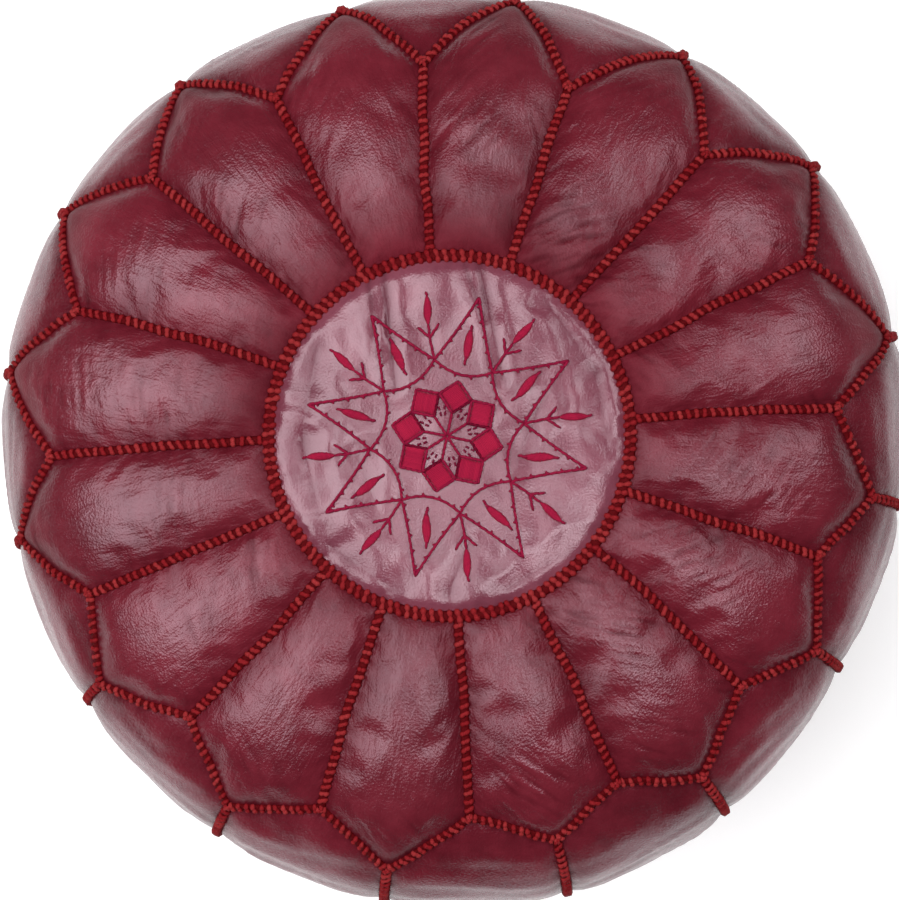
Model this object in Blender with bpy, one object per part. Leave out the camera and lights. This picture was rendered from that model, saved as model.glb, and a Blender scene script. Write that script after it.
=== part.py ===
"""Moroccan leather pouf: sixteen petals and sixteen side panels of hide laced together round an embroidered
medallion, filled with wadding, with a zip across the base. Metres, +Z up, the base rests on z = 0."""

import math

import bmesh
import bpy
import numpy as np

# Body: the surface that the seams lie on, turned about Z
PETALS = 16
EQUATOR_RADIUS = 0.260
EQUATOR_HEIGHT = 0.190
CROWN_RISE = 0.126
CROWN_POWER = 3.4
BASE_FLAT_RADIUS = 0.200
BASE_POWER = 2.4
BASE_SEAM_RADIUS = 0.218
RING_RADIUS = 0.100

# Hide and lacing
HIDE = 0.0022
SEAM_HALF = 0.004
SEAM_RIDGE = 0.0035
GAP = 0.0005
PETAL_PUFF = 0.005
SIDE_PUFF = 0.003
MEDALLION_PUFF = 0.005
TIP_CLEARANCE = 0.0065

# How far each hand-laced seam strays from its even place: degrees, and millimetres from the axis
JUNCTION_SHIFT = (0.9, 0.2, -0.5, 0.3, 0.6, 1.1, 0.3, 0.1, -0.9, -2.5, -1.3, -0.2, -0.5, -0.1, 0.8, 1.0)
JUNCTION_RADIUS = (217, 224, 213, 207, 212, 215, 223, 222, 226, 222, 214, 219, 211, 213, 214, 217)
RING_SHIFT = (1.6, -0.2, -0.5, -0.2, 2.5, 2.1, -0.2, -3.0, -2.1, -0.9, -0.6, -2.4, -0.9, 1.2, 3.6, 1.4)
TIP_SHIFT = (-1.3, 0, -0.7, -0.6, -0.7, -0.2, -0.5, -1.3, -2.1, -2.3, -0.9, -0.6, 0.1, -0.6, 0.2, -0.1)
TIP_RADIUS = (253, 254, 254, 254, 254, 254, 254, 254, 253, 242, 240, 241, 229, 234, 238, 239)

# Mesh steps along each edge
ACROSS = 4
RADIAL_STEPS = 5
EDGE_STEPS = ACROSS // 2
SIDE_STEPS = 7
PROFILE_STEPS = 400

# Zip, along X under the base
RECESS = 0.007
RECESS_FLAT = 0.020
RECESS_FOOT = 0.042
RECESS_END = (0.186, 0.205)
SLOT_HALF = 0.007
BASE_COLUMNS = 22
BASE_ROW_SHARES = (0, 0.25, 0.5, 0.72, 0.93, 1)
BASE_ROW_LIMITS = (SLOT_HALF, RECESS_FLAT, RECESS_FOOT, 1, 1, 1)
ZIP_HALF = 0.182
TAPE_INNER = 0.0018
TAPE_OUTER = 0.017
TAPE_BOTTOM = 0.0096
TAPE_THICK = 0.0008
TEETH_INNER = 0.0007
TEETH_OUTER = 0.0045
TEETH_BOTTOM = 0.0076
TEETH_TOP = 0.0092
STOP_LENGTH = 0.004
SLIDER_X = 0.166
SLIDER_LENGTH = 0.013
SLIDER_HALF = 0.0055
SLIDER_BOTTOM = 0.0056
SLIDER_TOP = 0.0124
PLATE = 0.0016
WEB_HALF = 0.0004
BRIDGE_HALF = 0.0013
BRIDGE_DROP = 0.0032
BRIDGE_BAR = 0.001
PULL_AXIS_Z = 0.0045
PULL_LENGTH = 0.026
PULL_HALF = 0.0032
PULL_THICK = 0.0012
PULL_EYE_HALF = 0.0018
PULL_WINDOW = 0.0099
PULL_BRIDGE = 0.0012

# Filling
FILLING_CLEARANCE = 0.008
FILLING_STEPS = 48
FILLING_BOTTOM = 0.0032
GROOVE_TOP = 0.016

# Embroidery
STAR_TIP = 0.079
STAR_NOTCH = 0.043
STAR_BAND = 0.0022
STAR_TURN = math.radians(-16.5)
STEM_HALF = 0.0008
LEAF_FOOT = 0.062
LEAF_WIDE = 0.070
LEAF_TIP = 0.079
LEAF_HALF = 0.0028
ROSETTE_OUTER = 0.030
ROSETTE_INNER = 0.0265
THREAD = 0.001

BURGUNDY = (0.115, 0.013, 0.025)
ROSE_BURGUNDY = (0.150, 0.028, 0.045)
THREAD_RED = (0.190, 0.015, 0.020)
CRIMSON = (0.280, 0.012, 0.040)
WADDING = (0.72, 0.68, 0.60)
TAPE_COLOUR = (0.050, 0.008, 0.012)
NYLON = (0.035, 0.010, 0.012)
METAL = (0.48, 0.36, 0.20)


def clear_scene():
    for obj in list(bpy.data.objects):
        bpy.data.objects.remove(obj, do_unlink=True)


def make_material(name, colour, roughness, metallic=0.0):
    material = bpy.data.materials.new(name)
    material.use_nodes = True
    shader = material.node_tree.nodes["Principled BSDF"]
    shader.inputs["Base Color"].default_value = (*colour, 1)
    shader.inputs["Roughness"].default_value = roughness
    shader.inputs["Metallic"].default_value = metallic
    material.diffuse_color = (*colour, 1)
    return material


def body_profile():
    """Radius and height of the seam surface, from the crown's middle down to the flat base."""
    quarter = np.linspace(0, math.pi / 2, PROFILE_STEPS)
    power = 2 / CROWN_POWER
    crown = np.stack(
        [
            EQUATOR_RADIUS * np.sin(quarter) ** power,
            EQUATOR_HEIGHT + CROWN_RISE * np.clip(np.cos(quarter), 0, 1) ** power,
        ],
        axis=1,
    )
    overhang = EQUATOR_RADIUS - BASE_FLAT_RADIUS
    power = 2 / BASE_POWER
    below = np.stack(
        [
            BASE_FLAT_RADIUS + overhang * np.clip(np.cos(quarter), 0, 1) ** power,
            EQUATOR_HEIGHT * (1 - np.sin(quarter) ** power),
        ],
        axis=1,
    )
    return np.concatenate([crown, below[1:]])


PROFILE = body_profile()
STEPS = np.diff(PROFILE, axis=0)
PATH = np.concatenate([[0], np.cumsum(np.linalg.norm(STEPS, axis=1))])
SLOPE = np.gradient(PROFILE, PATH, axis=0)


def radius_at(path):
    return float(np.interp(path, PATH, PROFILE[:, 0]))


def crown_path(radius):
    """How far along the profile the crown reaches this radius."""
    return float(np.interp(radius, PROFILE[:PROFILE_STEPS, 0], PATH[:PROFILE_STEPS]))


def base_path(radius):
    """How far along the profile the lower side comes back in to this radius."""
    return float(np.interp(-radius, -PROFILE[PROFILE_STEPS:, 0], PATH[PROFILE_STEPS:]))


def on_body(angle, path, lift=0.0):
    """The point at an angle and a distance down the profile, lifted off the seam surface."""
    radius, height = (np.interp(path, PATH, PROFILE[:, i]) for i in (0, 1))
    along, down = (np.interp(path, PATH, SLOPE[:, i]) for i in (0, 1))
    length = math.hypot(along, down)
    radius += -down / length * lift
    height += along / length * lift
    return (radius * math.cos(angle), radius * math.sin(angle), height)


def seam_angle(k, shifts, offset=0.0):
    turn, index = divmod(k, PETALS)
    even = 360 / PETALS * (index + offset)
    return math.radians(even + shifts[index]) + 2 * math.pi * turn


RING_EDGE = crown_path(RING_RADIUS) + SEAM_HALF + GAP
BASE_PATH = base_path(BASE_SEAM_RADIUS)


def ring_end(k):
    return np.array([seam_angle(k, RING_SHIFT), RING_EDGE])


def junction(k):
    return np.array([seam_angle(k, JUNCTION_SHIFT), crown_path(JUNCTION_RADIUS[k % PETALS] / 1000)])


def petal_tip(k):
    return np.array([seam_angle(k, TIP_SHIFT, 0.5), crown_path(TIP_RADIUS[k % PETALS] / 1000)])


def base_end(k):
    return np.array([math.radians(360 / PETALS * (k + 0.5)), BASE_PATH])


def line(start, end, steps):
    """Points from start up to, but not including, end."""
    return [start + (end - start) * i / steps for i in range(steps)]


def side_seam(k):
    """The upright seam under petal tip k, which starts just clear of the tip."""
    top = petal_tip(k) + np.array([0, TIP_CLEARANCE])
    return line(top, base_end(k), SIDE_STEPS) + [base_end(k)]


def inset(loop, widths):
    """The loop moved to its left on the surface, by each edge's own width, with mitred corners."""
    moved = []
    for i, (angle, path) in enumerate(loop):
        radius = radius_at(path)
        normals = []
        for start, end in ((loop[i - 1], loop[i]), (loop[i], loop[(i + 1) % len(loop)])):
            step = np.array([radius * (end[0] - start[0]), start[1] - end[1]])
            normals.append(np.array([-step[1], step[0]]) / np.linalg.norm(step))
        distances = np.array([widths[i - 1], widths[i]])
        if abs(normals[0][0] * normals[1][1] - normals[0][1] * normals[1][0]) < 0.02:
            shift = (normals[0] + normals[1]) / 2 * distances.mean()
        else:
            shift = np.linalg.solve(np.array(normals), distances)
        moved.append(np.array([angle + shift[0] / radius, path - shift[1]]))
    return moved


def petal_loop(k):
    """Anticlockwise round petal k: down its left seam, along its point, up its right seam, back along the ring."""
    return (
        line(ring_end(k), junction(k), RADIAL_STEPS)
        + line(junction(k), petal_tip(k), EDGE_STEPS)
        + line(petal_tip(k), junction(k + 1), EDGE_STEPS)
        + line(junction(k + 1), ring_end(k + 1), RADIAL_STEPS)
        + line(ring_end(k + 1), ring_end(k), ACROSS)
    )


def side_loop(k):
    """Anticlockwise round side panel k, whose top point reaches up into the notch at junction k."""
    return (
        line(petal_tip(k - 1), base_end(k - 1), SIDE_STEPS)
        + line(base_end(k - 1), base_end(k), ACROSS)
        + line(base_end(k), petal_tip(k), SIDE_STEPS)
        + line(petal_tip(k), junction(k), EDGE_STEPS)
        + line(junction(k), petal_tip(k - 1), EDGE_STEPS)
    )


def edge_widths(*runs):
    """One width for each step of a loop, from (steps, width) pairs."""
    return [width for steps, width in runs for _ in range(steps)]


def patch_grid(loop, rows, columns):
    """Columns of points that fill a loop of four edges: left side, bottom, right side, top."""
    left = loop[: rows + 1]
    bottom = loop[rows : rows + columns + 1]
    right = loop[rows + columns : 2 * rows + columns + 1][::-1]
    top = (loop[2 * rows + columns :] + loop[:1])[::-1]
    grid = []
    for i in range(columns + 1):
        u = i / columns
        column = []
        for j in range(rows + 1):
            v = j / rows
            across = (1 - u) * left[j] + u * right[j]
            down = (1 - v) * top[i] + v * bottom[i]
            corners = (1 - v) * ((1 - u) * top[0] + u * top[-1]) + v * ((1 - u) * bottom[0] + u * bottom[-1])
            column.append(across + down - corners)
        grid.append(column)
    return grid


def puff(u, v, height):
    return height * math.sqrt(max(0.0, 16 * u * (1 - u) * v * (1 - v)))


def finish_mesh(name, mesh_data, material, location=(0, 0, 0), parent=None):
    mesh = bpy.data.meshes.new(name)
    bmesh.ops.remove_doubles(mesh_data, verts=mesh_data.verts, dist=1e-5)
    mesh_data.to_mesh(mesh)
    mesh_data.free()
    mesh.shade_smooth()
    mesh.set_sharp_from_angle(angle=math.radians(40))
    mesh.materials.append(material)
    obj = bpy.data.objects.new(name, mesh)
    bpy.context.scene.collection.objects.link(obj)
    obj.location = location
    obj.parent = parent
    return obj


def thicken(obj, thickness, side=-1):
    """A wall on one side of an open surface: -1 goes inwards, 1 outwards."""
    solid = obj.modifiers.new("thickness", "SOLIDIFY")
    solid.thickness = thickness
    solid.offset = side
    return obj


def hide_panel(name, grid, height, material):
    """A curved panel of hide over a grid of columns, puffed out between its edges."""
    columns, rows = len(grid) - 1, len(grid[0]) - 1
    panel = bmesh.new()
    points = [
        [panel.verts.new(on_body(*grid[i][j], puff(i / columns, j / rows, height))) for j in range(rows + 1)]
        for i in range(columns + 1)
    ]
    for i in range(columns):
        for j in range(rows):
            panel.faces.new((points[i][j], points[i][j + 1], points[i + 1][j + 1], points[i + 1][j]))
    return thicken(finish_mesh(name, panel, material), HIDE)


def make_petals(material):
    clear = SEAM_HALF + GAP
    for k in range(PETALS):
        widths = edge_widths((2 * RADIAL_STEPS + ACROSS, clear), (ACROSS, 0))
        loop = inset(petal_loop(k), widths)
        hide_panel(f"petal_panel_{k + 1:02d}", patch_grid(loop, RADIAL_STEPS, ACROSS), PETAL_PUFF, material)


def make_sides(material):
    clear = SEAM_HALF + GAP
    for k in range(PETALS):
        widths = [clear] * (2 * SIDE_STEPS + 2 * ACROSS)
        loop = inset(side_loop(k), widths)
        hide_panel(f"side_panel_{k + 1:02d}", patch_grid(loop, SIDE_STEPS, ACROSS), SIDE_PUFF, material)


def add_strip(net, crest, foot):
    """Half of a laced seam: quads between its raised middle line and the edge of the panel on its left."""
    high = [net.verts.new(on_body(*point, SEAM_RIDGE)) for point in crest]
    low = [net.verts.new(on_body(*point)) for point in foot]
    for i in range(len(crest) - 1):
        net.faces.new((high[i], high[i + 1], low[i + 1], low[i]))


def zigzag(k):
    """The lower edge of petal k, walked clockwise round the pouf."""
    return line(junction(k + 1), petal_tip(k), EDGE_STEPS) + line(petal_tip(k), junction(k), EDGE_STEPS)


def make_petal_seams(material):
    net = bmesh.new()
    seam_steps = 2 * RADIAL_STEPS + ACROSS
    for k in range(PETALS):
        loop = petal_loop(k)
        foot = inset(loop, edge_widths((seam_steps, SEAM_HALF), (ACROSS, 0)))
        add_strip(net, loop[: seam_steps + 1], foot[: seam_steps + 1])
    for k in range(PETALS):
        run = zigzag(k + 1) + zigzag(k) + zigzag(k - 1)
        foot = inset(run, [SEAM_HALF] * len(run))
        add_strip(net, run[ACROSS : 2 * ACROSS + 1], foot[ACROSS : 2 * ACROSS + 1])
    return thicken(finish_mesh("petal_seam_lacing", net, material), HIDE)


def make_side_seams(material):
    net = bmesh.new()
    steps = 2 * SIDE_STEPS + ACROSS
    for k in range(PETALS):
        bottom = line(base_end(k - 1), base_end(k), ACROSS)
        loop = side_seam(k - 1)[:-1] + bottom + side_seam(k)[::-1]
        loop += line(loop[-1], loop[0], 1)[1:]
        foot = inset(loop, edge_widths((steps, SEAM_HALF), (1, 0)))
        add_strip(net, loop, foot)
        ring = (bottom + [base_end(k)])[::-1]
        add_strip(net, ring, [point + np.array([0, SEAM_HALF]) for point in ring])
    return thicken(finish_mesh("side_seam_lacing", net, material), HIDE)


def around(path, steps=ACROSS * PETALS):
    return [np.array([2 * math.pi * i / steps, path]) for i in range(steps + 1)]


def make_medallion_seam(material):
    middle = crown_path(RING_RADIUS)
    ring = bmesh.new()
    add_strip(ring, around(middle), around(middle - SEAM_HALF))
    add_strip(ring, around(middle)[::-1], around(middle + SEAM_HALF)[::-1])
    return thicken(finish_mesh("medallion_lacing", ring, material), HIDE)


def medallion_lift(path):
    edge = crown_path(RING_RADIUS) - SEAM_HALF - GAP
    return MEDALLION_PUFF * max(0.0, 1 - (path / edge) ** 2)


def make_medallion(material):
    edge = crown_path(RING_RADIUS) - SEAM_HALF - GAP
    disc = bmesh.new()
    rings = []
    for share in (1, 0.7, 0.35):
        points = around(edge * share)[:-1]
        rings.append([disc.verts.new(on_body(*point, medallion_lift(edge * share))) for point in points])
    for outer, inner in zip(rings, rings[1:]):
        for i in range(len(outer)):
            disc.faces.new((outer[i - 1], outer[i], inner[i], inner[i - 1]))
    disc.faces.new(rings[-1])
    return thicken(finish_mesh("medallion_panel", disc, material), HIDE)


def base_height(x, y):
    """The outside of the base: flat, raised into a shallow channel over the zip, turned up at its rim."""
    rim = float(np.interp(math.hypot(x, y), PROFILE[::-1, 0][:PROFILE_STEPS], PROFILE[::-1, 1][:PROFILE_STEPS]))
    slope = np.interp(y, (RECESS_FLAT, RECESS_FOOT), (1, 0))
    end = np.interp(abs(x), RECESS_END, (1, 0))
    return rim + RECESS * slope * end


def make_base_half(name, side, material):
    """Half of the round base, on the +Y or -Y side of the zip."""
    outer = radius_at(BASE_PATH + SEAM_HALF + GAP)
    first = math.asin(1.7 * SLOT_HALF / outer)
    half = bmesh.new()
    columns = []
    for i in range(BASE_COLUMNS + 1):
        angle = first + (math.pi - 2 * first) * i / BASE_COLUMNS
        x, rim = outer * math.cos(angle), outer * math.sin(angle)
        reach = [SLOT_HALF + (rim - SLOT_HALF) * share for share in BASE_ROW_SHARES]
        rows = [min(y, limit) for y, limit in zip(reach, BASE_ROW_LIMITS)]
        columns.append([half.verts.new((x, side * y, base_height(x, y))) for y in rows])
    for left, right in zip(columns, columns[1:]):
        for j in range(len(BASE_ROW_SHARES) - 1):
            corners = (left[j], right[j], right[j + 1], left[j + 1])
            half.faces.new(corners if side > 0 else corners[::-1])
    return thicken(finish_mesh(name, half, material), HIDE)


def add_box(shape, low, high):
    """An axis-aligned box between two corners."""
    made = bmesh.ops.create_cube(shape, size=1)["verts"]
    size = [b - a for a, b in zip(low, high)]
    middle = [(a + b) / 2 for a, b in zip(low, high)]
    bmesh.ops.scale(shape, vec=size, verts=made)
    bmesh.ops.translate(shape, vec=middle, verts=made)


def make_box(name, low, high, material, bevel=0.0):
    shape = bmesh.new()
    add_box(shape, low, high)
    obj = finish_mesh(name, shape, material)
    if bevel:
        edge = obj.modifiers.new("edge", "BEVEL")
        edge.width = bevel
        edge.segments = 1
    return obj


def make_prism(name, outline, low, high, axis, material, **place):
    """A polygon extruded along X (outline in y, z) or along Y (outline in x, z)."""
    shape = bmesh.new()
    if axis == "X":
        corners = [(low, a, b) for a, b in outline]
        along = (high - low, 0, 0)
    else:
        corners = [(a, low, b) for a, b in outline]
        along = (0, high - low, 0)
    face = shape.faces.new([shape.verts.new(corner) for corner in corners])
    extruded = bmesh.ops.extrude_face_region(shape, geom=[face])
    moved = [item for item in extruded["geom"] if isinstance(item, bmesh.types.BMVert)]
    bmesh.ops.translate(shape, vec=along, verts=moved)
    bmesh.ops.recalc_face_normals(shape, faces=shape.faces)
    return finish_mesh(name, shape, material, **place)


def as_cutter(obj):
    obj.hide_render = True
    obj.display_type = "WIRE"
    return obj


def combine(obj, other, operation):
    boolean = obj.modifiers.new(operation.lower(), "BOOLEAN")
    boolean.operation = operation
    boolean.object = as_cutter(other)
    return obj


def make_zip_tapes(tape, nylon, metal):
    """The fixed half of the zip: two woven tapes, two rows of teeth and the stops at the ends."""
    for name, side in (("left", 1), ("right", -1)):
        y = sorted((side * TAPE_INNER, side * TAPE_OUTER))
        low, high = (-ZIP_HALF, y[0], TAPE_BOTTOM), (ZIP_HALF, y[1], TAPE_BOTTOM + TAPE_THICK)
        make_box(f"zip_tape_{name}", low, high, tape)
        y = sorted((side * TEETH_INNER, side * TEETH_OUTER))
        reach = ZIP_HALF - 2 * STOP_LENGTH
        make_box(f"zip_teeth_{name}", (-reach, y[0], TEETH_BOTTOM), (reach, y[1], TEETH_TOP), nylon)
        end = reach + GAP
        low, high = (end, y[0], TEETH_BOTTOM), (end + STOP_LENGTH, y[1], TEETH_TOP)
        make_box(f"zip_top_stop_{name}", low, high, metal, bevel=0.0004)
    low = (-end - STOP_LENGTH, -TEETH_OUTER, TEETH_BOTTOM)
    make_box("zip_bottom_stop", low, (-end, TEETH_OUTER, TEETH_TOP), metal, bevel=0.0004)


def make_slider(metal):
    """The slider: two plates joined by a web that runs between the rows of teeth, and a bridge for the pull."""
    inner_low = SLIDER_BOTTOM + PLATE
    inner_high = SLIDER_TOP - PLATE
    lip = inner_low + PLATE
    lip_half = SLIDER_HALF - 0.0007
    right = [
        (SLIDER_HALF, SLIDER_BOTTOM),
        (SLIDER_HALF, lip),
        (lip_half, lip),
        (lip_half, inner_low),
        (WEB_HALF, inner_low),
        (WEB_HALF, inner_high),
        (SLIDER_HALF, inner_high),
        (SLIDER_HALF, SLIDER_TOP),
    ]
    outline = right + [(-y, z) for y, z in reversed(right)]
    outline = [(y, z - PULL_AXIS_Z) for y, z in outline]
    place = {"location": (SLIDER_X, 0, PULL_AXIS_Z)}
    reach = SLIDER_LENGTH / 2
    slider = make_prism("zip_slider", outline, -reach, reach, "X", metal, **place)
    foot = SLIDER_BOTTOM - PULL_AXIS_Z
    bar = foot - BRIDGE_DROP
    span = 0.7 * reach
    leg = 0.0012
    bridge = [
        (-span, foot + PLATE / 2),
        (-span, bar + BRIDGE_BAR),
        (-span + leg, bar),
        (span - leg, bar),
        (span, bar + BRIDGE_BAR),
        (span, foot + PLATE / 2),
        (span - leg, foot + PLATE / 2),
        (span - leg, bar + BRIDGE_BAR),
        (-span + leg, bar + BRIDGE_BAR),
        (-span + leg, foot + PLATE / 2),
    ]
    arch = make_prism("bridge_shape", bridge, -BRIDGE_HALF, BRIDGE_HALF, "Y", metal, **place)
    return combine(slider, arch, "UNION")


def make_pull(slider, metal):
    """The pull tab, hinged in the slider's bridge; it lies flat under the closed teeth."""
    bar = PULL_THICK / 2
    pull = bmesh.new()
    shoulder = 0.88 * PULL_LENGTH
    half_outline = [(-bar, 1), (PULL_WINDOW + PULL_BRIDGE, 1), (shoulder, 0.75), (PULL_LENGTH, 0.4)]
    outer = [(-x, -PULL_HALF * share) for x, share in half_outline]
    outer += [(x, -y) for x, y in reversed(outer)]
    hole = [(-x, y) for x in (bar, PULL_WINDOW) for y in (-PULL_EYE_HALF, PULL_EYE_HALF)]
    hole = [hole[0], hole[1], hole[3], hole[2]]
    for points in (outer, hole):
        corners = [pull.verts.new((x, y, -bar)) for x, y in points]
        for i, corner in enumerate(corners):
            pull.edges.new((corners[i - 1], corner))
    bmesh.ops.triangle_fill(pull, edges=pull.edges, use_beauty=True)
    extruded = bmesh.ops.extrude_face_region(pull, geom=list(pull.faces))
    moved = [item for item in extruded["geom"] if isinstance(item, bmesh.types.BMVert)]
    bmesh.ops.translate(pull, vec=(0, 0, PULL_THICK), verts=moved)
    bmesh.ops.recalc_face_normals(pull, faces=pull.faces)
    return finish_mesh("zip_pull", pull, metal, parent=slider)


def make_filling(material):
    """The wadding: the body's own shape inside the hide, with a groove over the zip."""
    depth = -(HIDE + FILLING_CLEARANCE)
    stops = np.linspace(0.03, BASE_PATH, 15)
    outline = [(0, 0, on_body(0, 0.001, depth)[2])]
    outline += [(on_body(0, path, depth)[0], 0, on_body(0, path, depth)[2]) for path in stops]
    outline += [(BASE_FLAT_RADIUS - 0.004, 0, FILLING_BOTTOM), (0, 0, FILLING_BOTTOM)]
    profile = bmesh.new()
    points = [profile.verts.new(point) for point in outline]
    for start, end in zip(points, points[1:]):
        profile.edges.new((start, end))
    filling = finish_mesh("filling", profile, material)
    turn = filling.modifiers.new("turn", "SCREW")
    turn.steps = turn.render_steps = FILLING_STEPS
    turn.use_merge_vertices = True
    turn.merge_threshold = 1e-5
    groove = [
        (-RECESS_FOOT - 0.006, -0.01),
        (RECESS_FOOT + 0.006, -0.01),
        (RECESS_FOOT + 0.006, FILLING_BOTTOM + 0.001),
        (RECESS_FLAT + 0.004, GROOVE_TOP),
        (-RECESS_FLAT - 0.004, GROOVE_TOP),
        (-RECESS_FOOT - 0.006, FILLING_BOTTOM + 0.001),
    ]
    cutter = make_prism("groove_shape", groove, -EQUATOR_RADIUS, EQUATOR_RADIUS, "X", material)
    return combine(filling, cutter, "DIFFERENCE")


def on_medallion(radius, angle):
    """A point on the medallion's crown, by its distance from the axis."""
    path = crown_path(radius)
    return on_body(angle, path, medallion_lift(path) + GAP)


def polar(radius, angle, sideways):
    """Radius and angle of a point that is off a ray from the axis by a sideways distance."""
    return math.hypot(radius, sideways), angle + math.atan2(sideways, radius)


def make_star(material):
    """The eight-pointed star of couched thread, with a stem and a leaf growing from each notch."""
    star = bmesh.new()
    step = math.pi / 4
    edge_slant = STAR_BAND / 2 / math.sin(math.atan2(STAR_NOTCH * math.sin(step / 2), STAR_TIP - STAR_NOTCH))

    def vertex(radius, angle, sideways=0.0):
        return star.verts.new(on_medallion(*polar(radius, angle, sideways)))

    for m in range(8):
        ray = STAR_TURN + step * (m + 0.5)
        tips = [ray - step / 2, ray + step / 2]
        inner = vertex(STAR_NOTCH - edge_slant / 2, ray)
        feet = [vertex(STAR_NOTCH + edge_slant / 2, ray, side * STEM_HALF) for side in (-1, 1)]
        for tip, foot, side in zip(tips, feet, (-1, 1)):
            corners = (vertex(STAR_TIP - edge_slant, tip), vertex(STAR_TIP, tip), foot, inner)
            star.faces.new(corners if side < 0 else corners[::-1])
        star.faces.new((inner, feet[0], feet[1]))
        knees = [vertex(LEAF_FOOT, ray, side * STEM_HALF) for side in (-1, 1)]
        wide = [vertex(LEAF_WIDE, ray, side * LEAF_HALF) for side in (-1, 1)]
        star.faces.new((feet[0], knees[0], knees[1], feet[1]))
        star.faces.new((knees[0], wide[0], wide[1], knees[1]))
        star.faces.new((wide[0], vertex(LEAF_TIP, ray), wide[1]))
    return thicken(finish_mesh("star_embroidery", star, material), THREAD, side=1)


def make_rosette(material):
    """The filled flower in the middle of the star."""
    rosette = bmesh.new()
    middle = rosette.verts.new(on_medallion(0.0005, 0))
    rim = []
    for i in range(16):
        radius = ROSETTE_OUTER if i % 2 else ROSETTE_INNER
        rim.append(rosette.verts.new(on_medallion(radius, STAR_TURN + math.pi / 8 * i)))
    for i in range(16):
        rosette.faces.new((rim[i - 1], rim[i], middle))
    return thicken(finish_mesh("rosette_embroidery", rosette, material), THREAD, side=1)


def build_pouf():
    clear_scene()
    hide = make_material("burgundy_hide", BURGUNDY, 0.38)
    rose_hide = make_material("medallion_hide", ROSE_BURGUNDY, 0.34)
    lacing = make_material("lacing_thread", THREAD_RED, 0.8)
    silk = make_material("embroidery_thread", CRIMSON, 0.55)
    metal = make_material("zip_metal", METAL, 0.35, 1.0)
    nylon = make_material("zip_nylon", NYLON, 0.45)
    tape = make_material("zip_tape_weave", TAPE_COLOUR, 0.9)
    make_medallion(rose_hide)
    make_petals(hide)
    make_sides(hide)
    make_base_half("base_panel_left", 1, hide)
    make_base_half("base_panel_right", -1, hide)
    make_medallion_seam(lacing)
    make_petal_seams(lacing)
    make_side_seams(lacing)
    make_star(silk)
    make_rosette(silk)
    make_filling(make_material("wadding", WADDING, 0.95))
    make_zip_tapes(tape, nylon, metal)
    make_pull(make_slider(metal), metal)


build_pouf()
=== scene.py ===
"""Looks of the Moroccan leather pouf: padded hide, hand lacing, embroidery, zip, studio and camera."""

import math

import bpy
import numpy as np
from mathutils import Matrix, Vector, noise
from mathutils.bvhtree import BVHTree


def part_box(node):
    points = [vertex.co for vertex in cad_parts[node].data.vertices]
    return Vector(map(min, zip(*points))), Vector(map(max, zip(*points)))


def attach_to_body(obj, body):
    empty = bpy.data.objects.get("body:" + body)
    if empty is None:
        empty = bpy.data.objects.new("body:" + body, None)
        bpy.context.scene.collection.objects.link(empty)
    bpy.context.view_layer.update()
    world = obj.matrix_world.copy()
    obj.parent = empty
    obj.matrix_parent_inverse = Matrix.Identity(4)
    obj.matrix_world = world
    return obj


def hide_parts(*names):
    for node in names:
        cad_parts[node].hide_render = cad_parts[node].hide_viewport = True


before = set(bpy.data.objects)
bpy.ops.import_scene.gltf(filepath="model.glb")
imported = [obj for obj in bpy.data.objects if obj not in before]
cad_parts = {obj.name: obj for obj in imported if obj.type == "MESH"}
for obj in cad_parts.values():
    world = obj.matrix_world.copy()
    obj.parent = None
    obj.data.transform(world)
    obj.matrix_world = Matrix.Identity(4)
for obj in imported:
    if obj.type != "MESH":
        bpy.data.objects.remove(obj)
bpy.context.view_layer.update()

MM = 0.001

# The surface that the seams lie on, as in the CAD part
PETALS = 16
EQUATOR_RADIUS = 0.260
EQUATOR_HEIGHT = 0.190
CROWN_RISE = 0.126
CROWN_POWER = 3.4
BASE_FLAT_RADIUS = 0.200
BASE_POWER = 2.4
BASE_SEAM_RADIUS = 0.218
RING_RADIUS = 0.100
PROFILE_STEPS = 400
SEAM_HALF = 3.2 * MM

# Where each seam ends, as in the CAD part: degrees away from its even place, and millimetres from the axis
JUNCTION_SHIFT = (0.9, 0.2, -0.5, 0.3, 0.6, 1.1, 0.3, 0.1, -0.9, -2.5, -1.3, -0.2, -0.5, -0.1, 0.8, 1.0)
JUNCTION_RADIUS = (217, 224, 213, 207, 212, 215, 223, 222, 226, 222, 214, 219, 211, 213, 214, 217)
RING_SHIFT = (1.6, -0.2, -0.5, -0.2, 2.5, 2.1, -0.2, -3.0, -2.1, -0.9, -0.6, -2.4, -0.9, 1.2, 3.6, 1.4)
TIP_SHIFT = (-1.3, 0, -0.7, -0.6, -0.7, -0.2, -0.5, -1.3, -2.1, -2.3, -0.9, -0.6, 0.1, -0.6, 0.2, -0.1)
TIP_RADIUS = (253, 254, 254, 254, 254, 254, 254, 254, 253, 242, 240, 241, 229, 234, 238, 239)
SEAM_WOBBLE = 0.9 * MM
EDGE_BOW = -1.0 * MM

# The side is drawn taut between its upright seams, so that it's nearly a polygon seen from above
TAUT_FROM = 0.170
TAUT_FULL = 0.236
TAUT_SHARE = 0.55
# How far the stuffing pushes each upright seam out, in mm
SIDE_REACH = (8.5, 12, 9, 5.5, 4.5, 6, 7, 3.5, -1.5, -1.5, 4.5, 9, 11.5, 8.5, 1, 4.5)
TAUT_AT_BASE = 0.35

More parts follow.
